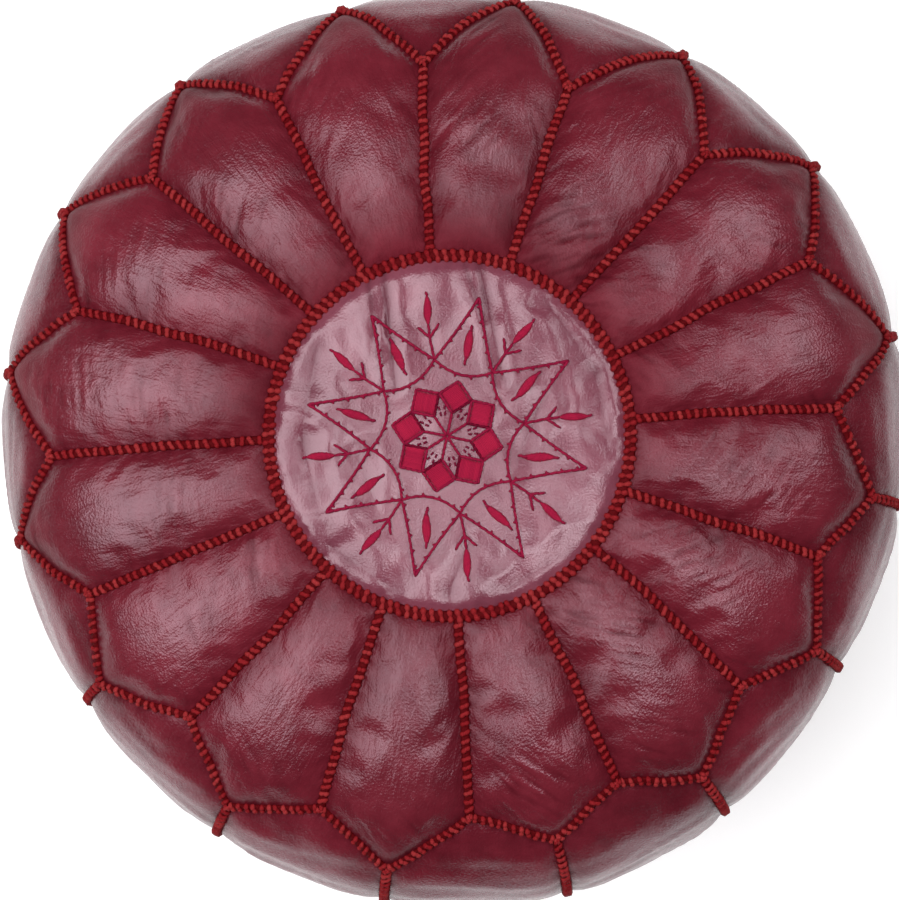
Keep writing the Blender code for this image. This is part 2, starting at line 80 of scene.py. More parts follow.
# Hide panels
RADIAL_STEPS = 24
EDGE_STEPS = 8
SIDE_STEPS = 40
ACROSS = 2 * EDGE_STEPS
BUTT_GAP = 0.3 * MM
SKIRT_DROP = 1.2 * MM
HIDE_THICK = 1.4 * MM
PETAL_PUFF = 3.4 * MM
SIDE_PUFF = 1.5 * MM
MEDALLION_PUFF = 4 * MM
MEDALLION_RINGS = 22
MEDALLION_AROUND = 96
INFLATE_FRAMES = 16
INFLATE_PRESSURE = 2.2
INFLATE_CAP = 2 * MM
# Creases this deep are shaded and dulled in full
CREASE_FULL = 0.45 * MM
SEAM_SHADE_REACH = 7 * MM

# Dullness, from 0 to 1: each petal's where it dips towards the medallion, the sides', the petals' outer ends'
DULL_PETALS = (1, 0.9, 0.9, 1, 1, 0.8, 0.8, 0.9, 0.2, 0.3, 0.3, 0.1, 0, 0.1, 0.1, 0.3)
SIDE_DULL = 0.12
RIM_DULL = 0.95
DULL_RIM = np.array((0.222, 0.240))
DULL_REACH = 32 * MM

# Folds across the medallion: both ends in metres from its middle, depth and width
MEDALLION_FOLDS = (
    ((-0.031, 0.096, -0.028, 0.028), 2.0 * MM, 3 * MM),
    ((-0.040, 0.092, -0.036, 0.046), 1.2 * MM, 2.4 * MM),
    ((0.022, 0.096, 0.031, 0.030), 1.9 * MM, 3 * MM),
    ((0.014, 0.094, 0.022, 0.062), 1.0 * MM, 2 * MM),
    ((-0.070, 0.052, -0.081, 0.002), 1.8 * MM, 6 * MM),
    ((-0.081, 0.002, -0.074, -0.040), 1.8 * MM, 6 * MM),
    ((-0.070, -0.056, -0.034, -0.084), 1.7 * MM, 6 * MM),
    ((0.058, 0.070, 0.083, 0.030), 1.6 * MM, 5 * MM),
    ((0.083, 0.030, 0.086, -0.012), 1.5 * MM, 5 * MM),
    ((0.026, -0.086, 0.064, -0.066), 1.4 * MM, 5 * MM),
    ((-0.006, -0.088, 0.006, -0.060), 1.0 * MM, 4 * MM),
    ((0.050, 0.012, 0.034, -0.024), 0.9 * MM, 5 * MM),
    ((-0.050, -0.010, -0.040, -0.046), 0.9 * MM, 5 * MM),
)

# Lacing: each stitch crosses its seam, in shares of its half width, heights and radii in millimetres
LACE_PITCH = 4.8 * MM
LACE_HALF = 2.3 * MM
LACE_ACROSS = (-1, -0.85, -0.55, -0.25, 0, 0.25, 0.55, 0.85, 1)
LACE_HEIGHTS = (-0.9, 0.4, 1.3, 1.7, 1.6, 1.7, 1.3, 0.4, -0.9)
LACE_RADII = (0.9, 1.25, 1.5, 1.5, 1.4, 1.5, 1.5, 1.25, 0.9)
LACE_WAIST = (0, 0, 0, 0.55, 1, 0.55, 0, 0, 0)
LACE_SLANT = 0.7 * MM
LACE_SIDES = 8
KNOT_STITCHES = 3
CORE_RADIUS = 2.5 * MM

# Embroidery, on the medallion
STAR_TIP = 0.079
STAR_NOTCH = 0.043
STAR_TURN = math.radians(-16.5)
EMBROIDERY_CENTRE = (-0.0013, -0.0008)
ROSETTE_SIDE = 0.0130
OUTLINE_RADIUS = 0.78 * MM
OUTLINE_TONE = 0.42
SATIN_PITCH = 0.8 * MM
SATIN_RADIUS = 0.5 * MM
STAR_INNER_BOW = 5 * MM
INNER_LEAF = (0.0435, 0.0605)
SPRAY_FORK = 0.0555
SPRAY_BARB = 0.0625
SPRAY_LEAF = (0.063, 0.0785)
SQUARE_DEPTH = 1.39 * ROSETTE_SIDE

# Zip, under the base
SLOT_HALF = 7 * MM
SLOT_CLOSES = (0.187, 0.193)
RECESS = 7 * MM
RECESS_FLAT = 20 * MM
RECESS_FOOT = 42 * MM
RECESS_END = (0.186, 0.205)
TOOTH_PITCH = 2.2 * MM
GROOVE_TOP = 16 * MM

# Camera, above the pouf and tipped a little towards -Y
CAMERA_PLACE = (0.0057, -0.0929, 2.0)
CAMERA_TARGET = (-0.0011, -0.0003, 0.16)
CAMERA_ROLL = math.radians(3.5)
CAMERA_LENS = 122.1

# Studio
FLOOR_REACH = 5
FLOOR_GAP = 0.6 * MM
WORLD_STRENGTH = 0.06
# Softboxes side by side above the camera: left, right, near and far edges, and brightness
SOFTBOX_HEIGHT = 2.4
SOFTBOXES = (
    ("left_softbox", (-3.0, -0.60, -1.3, 1.3), 4.8),
    ("middle_softbox", (-0.34, 0.14, -0.36, 0.30), 3.8),
    ("near_softbox", (0.02, 1.25, -0.95, -0.42), 6.8),
    ("side_softbox", (0.26, 1.5, -0.36, -0.04), 4.6),
    ("right_softbox", (1.3, 3.3, 0.1, 1.8), 4.0),
    ("far_softbox", (-0.75, 0.45, 0.5, 1.3), 4.8),
)


# ---- meshes and objects ----

def new_mesh(name, points, faces):
    mesh = bpy.data.meshes.new(name)
    mesh.from_pydata(points, [], faces)
    return mesh


def linked(name, data):
    obj = bpy.data.objects.new(name, data)
    bpy.context.scene.collection.objects.link(obj)
    return obj


def new_object(name, mesh, material, smooth=True):
    obj = linked(name, mesh)
    if smooth:
        mesh.shade_smooth()
    mesh.materials.append(material)
    return obj


def attach(piece, node=None):
    """Puts a piece on the pouf, in place of a CAD node where one is named."""
    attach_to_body(piece, "pouf")
    if node:
        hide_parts(node)


def apply_modifiers(obj):
    """Replaces the object's mesh by the same mesh with its modifiers applied."""
    evaluated = obj.evaluated_get(bpy.context.evaluated_depsgraph_get())
    mesh = bpy.data.meshes.new_from_object(evaluated)
    obj.modifiers.clear()
    old = obj.data
    obj.data = mesh
    bpy.data.meshes.remove(old)


def thicken(piece):
    """Gives a sheet of hide its thickness, inwards."""
    wall = piece.modifiers.new("thickness", "SOLIDIFY")
    wall.thickness = HIDE_THICK
    wall.offset = -1


def point_values(mesh, name, values):
    mesh.attributes.new(name, "FLOAT", "POINT").data.foreach_set("value", values.astype(np.float32))


# ---- the body surface: points are (angle, distance down the profile) ----

def body_profile():
    """Radius and height of the seam surface, from the crown's middle down to the flat base."""
    quarter = np.linspace(0, math.pi / 2, PROFILE_STEPS)
    power = 2 / CROWN_POWER
    crown_radius = EQUATOR_RADIUS * np.sin(quarter) ** power
    crown_height = EQUATOR_HEIGHT + CROWN_RISE * np.clip(np.cos(quarter), 0, 1) ** power
    overhang = EQUATOR_RADIUS - BASE_FLAT_RADIUS
    power = 2 / BASE_POWER
    below_radius = BASE_FLAT_RADIUS + overhang * np.clip(np.cos(quarter), 0, 1) ** power
    below_height = EQUATOR_HEIGHT * (1 - np.sin(quarter) ** power)
    crown = np.stack([crown_radius, crown_height], axis=1)
    return np.concatenate([crown, np.stack([below_radius, below_height], axis=1)[1:]])


PROFILE = body_profile()
PATH = np.concatenate([[0], np.cumsum(np.linalg.norm(np.diff(PROFILE, axis=0), axis=1))])
SLOPE = np.gradient(PROFILE, PATH, axis=0)


def radius_at(path):
    return np.interp(path, PATH, PROFILE[:, 0])


def crown_path(radius):
    """How far along the profile the crown reaches this radius."""
    return np.interp(radius, PROFILE[:PROFILE_STEPS, 0], PATH[:PROFILE_STEPS])


def base_path(radius):
    """How far along the profile the lower side comes back in to this radius."""
    return np.interp(-radius, -PROFILE[PROFILE_STEPS:, 0], PATH[PROFILE_STEPS:])


RING_PATH = float(crown_path(RING_RADIUS))
BASE_PATH = float(base_path(BASE_SEAM_RADIUS))


def normals_at(points):
    points = np.asarray(points, float)
    out = -np.interp(points[..., 1], PATH, SLOPE[:, 1])
    up = np.interp(points[..., 1], PATH, SLOPE[:, 0])
    length = np.hypot(out, up)
    out, up = out / length, up / length
    return np.stack([out * np.cos(points[..., 0]), out * np.sin(points[..., 0]), up], axis=-1)


def tautness(points):
    """What the radius is multiplied by: more at the upright seams than between them."""
    turn = 2 * math.pi / PETALS
    even = turn * (np.arange(-1, PETALS + 1) + 0.5)
    shift = np.radians([TIP_SHIFT[k % PETALS] for k in range(-1, PETALS + 1)])
    place = np.interp(np.mod(points[..., 0], 2 * math.pi), even + shift, even)
    off_middle = turn / 2 - np.abs(np.mod(place, turn) - turn / 2)
    sag = 1 - math.cos(turn / 2) / np.cos(off_middle)
    start, full = crown_path(TAUT_FROM), crown_path(TAUT_FULL)
    widest = PATH[PROFILE_STEPS]
    share = np.interp(points[..., 1], (start, full, widest, BASE_PATH), (0, 1, 1, TAUT_AT_BASE))
    seam_reach = [SIDE_REACH[k % PETALS] * MM / EQUATOR_RADIUS for k in range(-1, PETALS + 1)]
    reach = np.interp(place, even, seam_reach)
    swell = np.interp(points[..., 1], (start, widest, BASE_PATH), (0, 1, TAUT_AT_BASE))
    return 1 - share * sag * TAUT_SHARE + swell * reach


def on_body(points, lift=0.0):
    """Points in space, lifted off the seam surface."""
    points = np.asarray(points, float)
    radius = radius_at(points[..., 1]) * tautness(points)
    height = np.interp(points[..., 1], PATH, PROFILE[:, 1])
    place = np.stack([radius * np.cos(points[..., 0]), radius * np.sin(points[..., 0]), height], axis=-1)
    return place + normals_at(points) * np.asarray(lift)[..., None]


# ---- the seam layout ----

def seam_angle(k, shifts, offset=0.0):
    turn, index = divmod(k, PETALS)
    even = 360 / PETALS * (index + offset)
    return math.radians(even + shifts[index]) + 2 * math.pi * turn


def ring_end(k):
    return np.array([seam_angle(k, RING_SHIFT), RING_PATH])


def junction(k):
    return np.array([seam_angle(k, JUNCTION_SHIFT), crown_path(JUNCTION_RADIUS[k % PETALS] * MM)])


def petal_tip(k):
    return np.array([seam_angle(k, TIP_SHIFT, 0.5), crown_path(TIP_RADIUS[k % PETALS] * MM)])


def base_end(k):
    return np.array([math.radians(360 / PETALS * (k + 0.5)), BASE_PATH])


def seam(start, end, steps, key, bow=0.0):
    """A hand-laid seam from start to end: nearly straight, with a bow to its left and a wobble."""
    share = np.linspace(0, 1, steps + 1)
    line = start + (end - start) * share[:, None]
    radius = radius_at(line[:, 1])
    step = np.stack([radius * (end[0] - start[0]), np.full(steps + 1, start[1] - end[1])], axis=1)
    left = np.stack([-step[:, 1], step[:, 0]], axis=1) / np.linalg.norm(step, axis=1)[:, None]
    stray = np.array([noise.noise((key * 7.3, s * 4.0, 0.5)) for s in share]) * SEAM_WOBBLE * 2
    offset = (bow + stray) * np.sin(np.pi * share)
    line[:, 0] += left[:, 0] * offset / radius
    line[:, 1] -= left[:, 1] * offset
    return line


def radial_seam(k):
    shift = 2 * math.pi * (k // PETALS)
    return seam(ring_end(k % PETALS), junction(k % PETALS), RADIAL_STEPS, k % PETALS) + [shift, 0]


def point_seam(k, side):
    """The zigzag from junction k to the petal tip on its right (side 0) or on its left (side 1)."""
    shift = 2 * math.pi * (k // PETALS)
    k %= PETALS
    bow = -EDGE_BOW if side else EDGE_BOW
    return seam(junction(k), petal_tip(k - side), EDGE_STEPS, 40 + 2 * k + side, -bow) + [shift, 0]


def side_seam(k):
    shift = 2 * math.pi * (k // PETALS)
    return seam(petal_tip(k % PETALS), base_end(k % PETALS), SIDE_STEPS, 100 + k % PETALS) + [shift, 0]


def arc(start, end, steps):
    return start + (end - start) * np.linspace(0, 1, steps + 1)[:, None]


def petal_edges(k):
    """The five edges of petal k, anticlockwise: left seam down, its point, right seam up, the ring."""
    point = [point_seam(k, 0), point_seam(k + 1, 1)[::-1]]
    return [radial_seam(k), *point, radial_seam(k + 1)[::-1], arc(ring_end(k + 1), ring_end(k), ACROSS)]


def side_edges(k):
    """The five edges of side panel k, anticlockwise from the top of its left seam."""
    base = arc(base_end(k - 1), base_end(k), ACROSS)
    top = [point_seam(k, 0)[::-1], point_seam(k, 1)]
    return [side_seam(k - 1), base, side_seam(k)[::-1], *top]


def inset_edges(edges, width):
    """Closed edges moved to their left by one width, with mitred corners; a bend in an edge is kept."""
    corners = []
    for i, edge in enumerate(edges):
        here, before = edge[0], edges[i - 1]
        radius = radius_at(here[1])
        normals = []
        for step in (before[-1] - before[-3], edge[2] - edge[0]):
            flat = np.array([radius * step[0], -step[1]])
            normals.append(np.array([-flat[1], flat[0]]) / np.linalg.norm(flat))
        shift = np.linalg.solve(np.array(normals), [width, width])
        corners.append(here + [shift[0] / radius, -shift[1]])
    moved = []
    for i, edge in enumerate(edges):
        share = np.linspace(0, 1, len(edge))[:, None]
        ends = corners[i], corners[(i + 1) % len(edges)]
        bend = edge - (edge[0] + (edge[-1] - edge[0]) * share)
        moved.append(ends[0] + (ends[1] - ends[0]) * share + bend)
    return moved


def patch(left, bottom, right, top):
    """A grid [column, row] that fills four edges; left and right run down, the others across."""
    u = np.linspace(0, 1, len(top))[:, None, None]
    v = np.linspace(0, 1, len(left))[None, :, None]
    across = (1 - u) * left[None] + u * right[None]
    down = (1 - v) * top[:, None] + v * bottom[:, None]
    corners = (1 - v) * ((1 - u) * top[0] + u * top[-1]) + v * ((1 - u) * bottom[0] + u * bottom[-1])
    return across + down - corners


def petal_patch(edges):
    left, point_a, point_b, right, ring = edges
    return patch(left, np.concatenate([point_a, point_b[1:]]), right[::-1], ring[::-1])


def side_patch(edges):
    left, base, right, top_b, top_a = edges
    return patch(left, base, right[::-1], np.concatenate([top_b, top_a[1:]])[::-1])


def perimeter(columns, rows):
    """Grid places round the edge of a patch, anticlockwise from its top left."""
    places = [(0, j) for j in range(rows)] + [(i, rows) for i in range(columns)]
    places += [(columns, j) for j in range(rows, 0, -1)] + [(i, 0) for i in range(columns, 0, -1)]
    return places


def grid_faces(columns, rows):
    faces = []
    for i in range(columns):
        for j in range(rows):
            a, b = i * (rows + 1) + j, (i + 1) * (rows + 1) + j
            faces.append((a, a + 1, b + 1, b))
    return faces


def skirt_faces(ring, first):
    """Faces from a ring of points to as many more points, numbered from first."""
    faces = []
    for i in range(len(ring)):
        after = (i + 1) % len(ring)
        faces.append((first + i, first + after, ring[after], ring[i]))
    return faces


def pillow(columns, rows, height):
    """How far a stuffed patch stands out: nothing at its edges, nearly full over most of it."""
    u = np.linspace(-1, 1, columns + 1)[:, None]
    v = np.linspace(-1, 1, rows + 1)[None]
    fall = 1 - np.abs(v) ** np.where(v > 0, 7, 4)
    return height * (1.05 - 0.1 * v) * ((1 - np.abs(u) ** 4.5) * fall) ** 0.7


def laid_panel(edges, filler, height):
    """One panel before it is inflated: its points and faces, and its own flat coordinates."""
    inner = filler(inset_edges(edges, SEAM_HALF))
    outer_edges = inset_edges(edges, BUTT_GAP)
    columns, rows = inner.shape[0] - 1, inner.shape[1] - 1
    outer = np.concatenate([edge[:-1] for edge in outer_edges])
    lift = pillow(columns, rows, height)
    points = np.concatenate([on_body(inner, lift).reshape(-1, 3), on_body(outer, -SKIRT_DROP)])
    ring = [i * (rows + 1) + j for i, j in perimeter(columns, rows)]
    first = (columns + 1) * (rows + 1)
    flat = np.concatenate([inner.reshape(-1, 2), outer])
    middle = flat.mean(axis=0)
    across = (flat[:, 0] - middle[0]) * radius_at(flat[:, 1])
    return {
        "points": points,
        "faces": grid_faces(columns, rows),
        "skirt": skirt_faces(ring, first),
        "pinned": ring,
        "inner": first,
        "flat": np.stack([across, flat[:, 1]], axis=1),
        "dull": np.zeros(len(points)),
    }


def laid_medallion():
    """The round panel, as rings of points from its seam to its middle."""
    around = np.arange(MEDALLION_AROUND) * 2 * math.pi / MEDALLION_AROUND
    edge = RING_PATH - SEAM_HALF
    shares = np.linspace(1, 0.03, MEDALLION_RINGS)
    rings = [np.stack([around, np.full(MEDALLION_AROUND, edge * share)], axis=1) for share in shares]
    lifts = [MEDALLION_PUFF * (1 - share ** 2) for share in shares]
    skirt_ring = np.stack([around, np.full(MEDALLION_AROUND, RING_PATH - BUTT_GAP)], axis=1)
    points = [on_body(ring, np.full(MEDALLION_AROUND, lift)) for ring, lift in zip(rings, lifts)]
    points.append(np.array([[0, 0, on_body([0, 1e-4])[2] + MEDALLION_PUFF]]))
    count = MEDALLION_RINGS * MEDALLION_AROUND + 1
    points.append(on_body(skirt_ring, -SKIRT_DROP))
    faces = []
    for r in range(MEDALLION_RINGS - 1):
        for i in range(MEDALLION_AROUND):
            a, b = r * MEDALLION_AROUND + i, r * MEDALLION_AROUND + (i + 1) % MEDALLION_AROUND
            faces.append((a, b, b + MEDALLION_AROUND, a + MEDALLION_AROUND))
    last = (MEDALLION_RINGS - 1) * MEDALLION_AROUND
    for i in range(MEDALLION_AROUND):
        faces.append((last + i, last + (i + 1) % MEDALLION_AROUND, count - 1))
    points = np.concatenate(points)
    outer_ring = list(range(MEDALLION_AROUND))
    return {
        "points": points,
        "faces": faces,
        "skirt": skirt_faces(outer_ring, count),
        "pinned": outer_ring,
        "inner": count,
        "flat": points[:, :2].copy(),
        "dull": np.zeros(len(points)),
    }


# ---- inflating the hide ----

def inflate(panels):
    """One cloth simulation of all the panels, held along their lacing and pushed out by the filling."""
    points, faces, pinned, first = [], [], [], 0
    for panel in panels:
        points.append(panel["points"][: panel["inner"]])
        faces += [tuple(first + i for i in face) for face in panel["faces"]]
        pinned += [first + i for i in panel["pinned"]]
        first += panel["inner"]
    points = np.concatenate(points)
    cover = linked("cover", new_mesh("cover", points.tolist(), faces))
    cover.vertex_groups.new(name="pinned").add(pinned, 1.0, "REPLACE")
    cloth = cover.modifiers.new("cloth", "CLOTH")
    settings = cloth.settings
    settings.quality = 6
    settings.mass = 0.25
    settings.tension_stiffness = settings.compression_stiffness = 25
    settings.shear_stiffness = 12
    settings.bending_stiffness = 4
    settings.air_damping = 3
    settings.vertex_group_mass = "pinned"
    settings.use_pressure = True
    settings.uniform_pressure_force = INFLATE_PRESSURE
    settings.shrink_min = -0.012
    settings.effector_weights.gravity = 0
    cloth.point_cache.frame_end = INFLATE_FRAMES
    scene = bpy.context.scene
    for step in range(1, INFLATE_FRAMES + 1):
        scene.frame_set(step)
    blown = cover.evaluated_get(bpy.context.evaluated_depsgraph_get())
    result = np.array([v.co for v in blown.data.vertices], float)
    bpy.data.objects.remove(cover)
    scene.frame_set(1)
    move = result - points
    length = np.linalg.norm(move, axis=1, keepdims=True)
    result = points + move * np.minimum(1, INFLATE_CAP / np.maximum(length, 1e-9))
    first = 0
    for panel in panels:
        panel["points"][: panel["inner"]] = result[first : first + panel["inner"]]
        first += panel["inner"]


def wrinkle_relief(flat, key):
    """Height in metres of the fine folds and slack at a place on the hide, and how creased it is there."""
    turn = 0.9 * math.sin(key * 12.9)
    x = flat[0] * math.cos(turn) - flat[1] * math.sin(turn)
    y = flat[0] * math.sin(turn) + flat[1] * math.cos(turn)
    where = max(0.0, noise.noise((x * 22, y * 22, key * 3.1)) + 0.14)
    streak = noise.noise((x * 45, y * 300, key * 5.7))
    streak += 0.6 * noise.noise((x * 110, y * 620, key * 9.1))
    streak *= where * 0.8 * MM
    slack = noise.noise((x * 22, y * 22, key * 1.7)) + 0.2 * noise.noise((x * 60, y * 60, key * 2.3))
    return streak + slack * 0.34 * MM, -streak / CREASE_FULL


def side_relief(flat, key):
    """The same for a side panel: the filling's weight lays folds round the girth."""
    x, y = flat
    bend = 0.012 * noise.noise((x * 14, y * 14, key * 4.3))
    fold = noise.noise((x * 11, (y + bend) * 75, key * 6.1))
    fold += 0.5 * noise.noise((x * 20, (y + bend) * 190, key))
    slack = noise.noise((x * 22, y * 22, key * 1.7))
    return fold * 1.5 * MM + slack * 0.5 * MM, -fold * 0.6


def medallion_relief(flat, key):
    """The medallion's own relief: long folds, and puckers where the lacing pulls at its edge."""
    x, y = flat
    height = 3.0 * MM * noise.noise((x * 34, y * 30, key)) + 1.0 * MM * noise.noise((x * 80, y * 55, key))
    creased = 0.0
    for (ax, ay, bx, by), deep, wide in MEDALLION_FOLDS:
        run = (bx - ax) ** 2 + (by - ay) ** 2
        share = min(1, max(0, ((x - ax) * (bx - ax) + (y - ay) * (by - ay)) / run))
        across = math.hypot(x - ax - share * (bx - ax), y - ay - share * (by - ay))
        across /= wide * (1 + 0.5 * noise.noise((x * 60, y * 60, 4.0)))
        deep *= 1 - 0.6 * share
        height += deep * (0.7 * math.exp(-((across - 2.4) ** 2)) - 1.3 * math.exp(-across))
        creased += deep / CREASE_FULL * 0.36 * math.exp(-across * 1.4) * 3 * MM / wide
    radius, angle = math.hypot(x, y), math.atan2(y, x)
    pucker = noise.noise((7 * math.cos(angle), 7 * math.sin(angle), 6.0))
    return height + pucker * 5 * MM * math.exp((radius - RING_RADIUS) / (10 * MM)), creased


def hide_piece(name, panel, key, material, levels, relief):
    """A finished hide panel: smoothed, wrinkled and given its thickness."""
    mesh = new_mesh(name, panel["points"].tolist(), panel["faces"] + panel["skirt"])
    flat = panel["flat"]
    point_values(mesh, "hide_x", flat[:, 0])
    point_values(mesh, "hide_y", flat[:, 1])
    point_values(mesh, "dull", panel["dull"])
    edge = panel["points"][panel["pinned"]]
    away = np.min(np.linalg.norm(panel["points"][:, None] - edge[None, ::2], axis=2), axis=1)
    away[panel["inner"] :] = 0
    point_values(mesh, "seam", np.exp(-away / SEAM_SHADE_REACH))
    obj = new_object(name, mesh, material)
    smooth = obj.modifiers.new("smooth", "SUBSURF")
    smooth.levels = smooth.render_levels = levels
    apply_modifiers(obj)
    mesh = obj.data
    count = len(mesh.vertices)
    values = {}
    for label in ("hide_x", "hide_y", "seam"):
        values[label] = np.zeros(count, np.float32)
        mesh.attributes[label].data.foreach_get("value", values[label])
    relieved = np.array([relief(flat, key) for flat in zip(values["hide_x"], values["hide_y"])])
    lift = relieved[:, 0] * (1 - np.clip(values["seam"], 0, 1)) ** 1.5
    point_values(mesh, "fold", np.clip(relieved[:, 1], 0, 1))
    place = np.zeros(count * 3, np.float32)
    normal = np.zeros(count * 3, np.float32)
    mesh.vertices.foreach_get("co", place)
    mesh.vertex_normals.foreach_get("vector", normal)
    place = place.reshape(-1, 3) + normal.reshape(-1, 3) * lift[:, None]
    mesh.vertices.foreach_set("co", place.astype(np.float32).ravel())
    point_values(mesh, "panel", np.full(count, key * 0.618 % 1.0))
    mesh.update()
    mesh.shade_smooth()
    thicken(obj)
    return obj


# ---- thread ----

class Threads:
    """Many swept strands gathered into one mesh."""

    def __init__(self):
        self.points, self.faces, self.tones, self.count = [], [], [], 0

    def strand(self, path, across, wide, high, sides=LACE_SIDES, tone=0.5):
        """A closed strand along path; wide is its radius along across, high its radius square to both."""
        path = np.asarray(path, float)
        along = np.gradient(path, axis=0)
        along /= np.linalg.norm(along, axis=1, keepdims=True)
        across = np.broadcast_to(np.asarray(across, float), path.shape)
        across = across - (across * along).sum(axis=1, keepdims=True) * along
        across = across / np.linalg.norm(across, axis=1, keepdims=True)
        up = np.cross(along, across)
        turn = np.arange(sides) * 2 * math.pi / sides
        wide = np.broadcast_to(wide, len(path))[:, None, None]
        high = np.broadcast_to(high, len(path))[:, None, None]
        ring = wide * np.cos(turn)[None, :, None] * across[:, None]
        ring = ring + high * np.sin(turn)[None, :, None] * up[:, None]
        self.points.append((path[:, None] + ring).reshape(-1, 3))
        first, rows = self.count, len(path)
        for i in range(rows - 1):
            a = first + i * sides
            for j in range(sides):
                k = (j + 1) % sides
                self.faces.append((a + j, a + k, a + sides + k, a + sides + j))
        self.faces.append(tuple(first + j for j in range(sides))[::-1])
        self.faces.append(tuple(first + (rows - 1) * sides + j for j in range(sides)))
        self.tones.append(np.full(rows * sides, tone))
        self.count += rows * sides

    def build(self, name, material):
        mesh = new_mesh(name, np.concatenate(self.points).tolist(), self.faces)
        point_values(mesh, "tone", np.concatenate(self.tones))
        mesh.update()
        return new_object(name, mesh, material)


def resample(line, pitch, trim=0.0):
    """Surface points spaced evenly by real distance along a seam, in from both ends by trim."""
    place = on_body(line)
    along = np.concatenate([[0], np.cumsum(np.linalg.norm(np.diff(place, axis=0), axis=1))])
    length = along[-1] - 2 * trim
    count = max(2, round(length / pitch) + 1)
    at = trim + np.linspace(0, length, count)
    return np.stack([np.interp(at, along, line[:, i]) for i in range(2)], axis=1)


def lace_stitch(threads, place, along, up, rng, lift=0.0, size=1.0, waist=0.45, wide=1.0):
    """One stitch over a seam: a bent strand, more or less drawn in at its middle."""
    side = np.cross(along, up)
    half = LACE_HALF * size * wide * rng.uniform(0.90, 1.08)
    slant = LACE_SLANT + rng.normal(0, 0.45 * MM)
    bend = rng.normal(0, 0.3 * MM)
    path = []
    for share, height, drawn in zip(LACE_ACROSS, LACE_HEIGHTS, LACE_WAIST):
        height = height * MM * size + lift + rng.normal(0, 0.08 * MM) - waist * drawn * 1.3 * MM
        shift = share * slant + (1 - share * share) * bend
        path.append(place + side * share * half + up * height + along * shift)
    radii = np.array(LACE_RADII) * MM * size * rng.uniform(0.9, 1.06)
    radii *= 1 - 0.42 * waist * np.array(LACE_WAIST)
    radii *= rng.uniform(0.93, 1.07, len(radii))
    threads.strand(path, along, radii, radii * 0.75, tone=rng.uniform(0.2, 0.65))


def lace_line(threads, line, rng, trim=0.0, size=1.0):
    """Stitches over a whole seam, and the core that they are wrapped round."""
    points = resample(line, LACE_PITCH * rng.uniform(0.93, 1.08), trim)
    place, up = on_body(points), normals_at(points)
    along = np.gradient(place, axis=0)
    along /= np.linalg.norm(along, axis=1, keepdims=True)
    for i in range(len(points)):
        lace_stitch(threads, place[i], along[i], up[i], rng, size=size)
    # The core takes the thread's darkest colour: painted shade for the gaps between the stitches
    core = resample(line, LACE_PITCH / 2)
    side = np.cross(np.gradient(on_body(core), axis=0), normals_at(core))
    radius = CORE_RADIUS * size
    threads.strand(on_body(core, np.full(len(core), -0.4 * MM)), side, radius, radius * 0.5, tone=-1)


def knot(threads, point, rng):
    """The bunch of crossing stitches where seams meet."""
    place, up = on_body(point), normals_at(point)
    level = np.cross(up, [0.3, 0.9, 0.2])
    level /= np.linalg.norm(level)
    for i in range(KNOT_STITCHES):
        turn = math.pi * i / KNOT_STITCHES + rng.uniform(-0.3, 0.3)
        along = level * math.cos(turn) + np.cross(up, level) * math.sin(turn)
        lace_stitch(threads, place, along, up, rng, lift=(0.4 + 0.5 * i) * MM, size=0.8)


def make_lacing(material):
    rng = np.random.default_rng(16)
    ring = Threads()
    around = np.linspace(0, 2 * math.pi, 240)
    circle = np.stack([around, np.full(len(around), RING_PATH)], axis=1)
    ring_line = resample(circle, LACE_PITCH)[:-1]
    place, up = on_body(ring_line), normals_at(ring_line)
    along = np.roll(place, -1, axis=0) - np.roll(place, 1, axis=0)
    along /= np.linalg.norm(along, axis=1, keepdims=True)
    for i in range(len(place)):
        lace_stitch(ring, place[i], along[i], up[i], rng, size=1.15, waist=1.0, wide=1.34)
    outward = np.stack([np.cos(around), np.sin(around), np.zeros(len(around))], axis=1)
    # The core takes the thread's darkest colour: painted shade for the gaps between the stitches
    core = on_body(circle, np.full(len(circle), -0.2 * MM))
    ring.strand(core, outward, CORE_RADIUS * 1.25, CORE_RADIUS * 0.5, tone=-1)
    petals, sides, base = Threads(), Threads(), Threads()
    for k in range(PETALS):
        lace_line(petals, radial_seam(k), rng, trim=5 * MM)
        for side in (0, 1):
            lace_line(petals, point_seam(k, side), rng, trim=3 * MM)
        knot(petals, junction(k), rng)
        knot(petals, petal_tip(k), rng)
        lace_line(sides, side_seam(k), rng, trim=5 * MM, size=1.02)
        lace_line(base, arc(base_end(k), base_end(k + 1), ACROSS), rng, trim=2.4 * MM, size=0.9)
    finished = {
        "medallion_lacing_thread": (ring, "medallion_lacing"),
        "petal_lacing_thread": (petals, "petal_seam_lacing"),
        "side_lacing_thread": (sides, "side_seam_lacing"),
        "base_lacing_thread": (base, "side_seam_lacing"),
    }
    for name, (threads, node) in finished.items():
        attach(threads.build(name, material), node)


# ---- embroidery ----

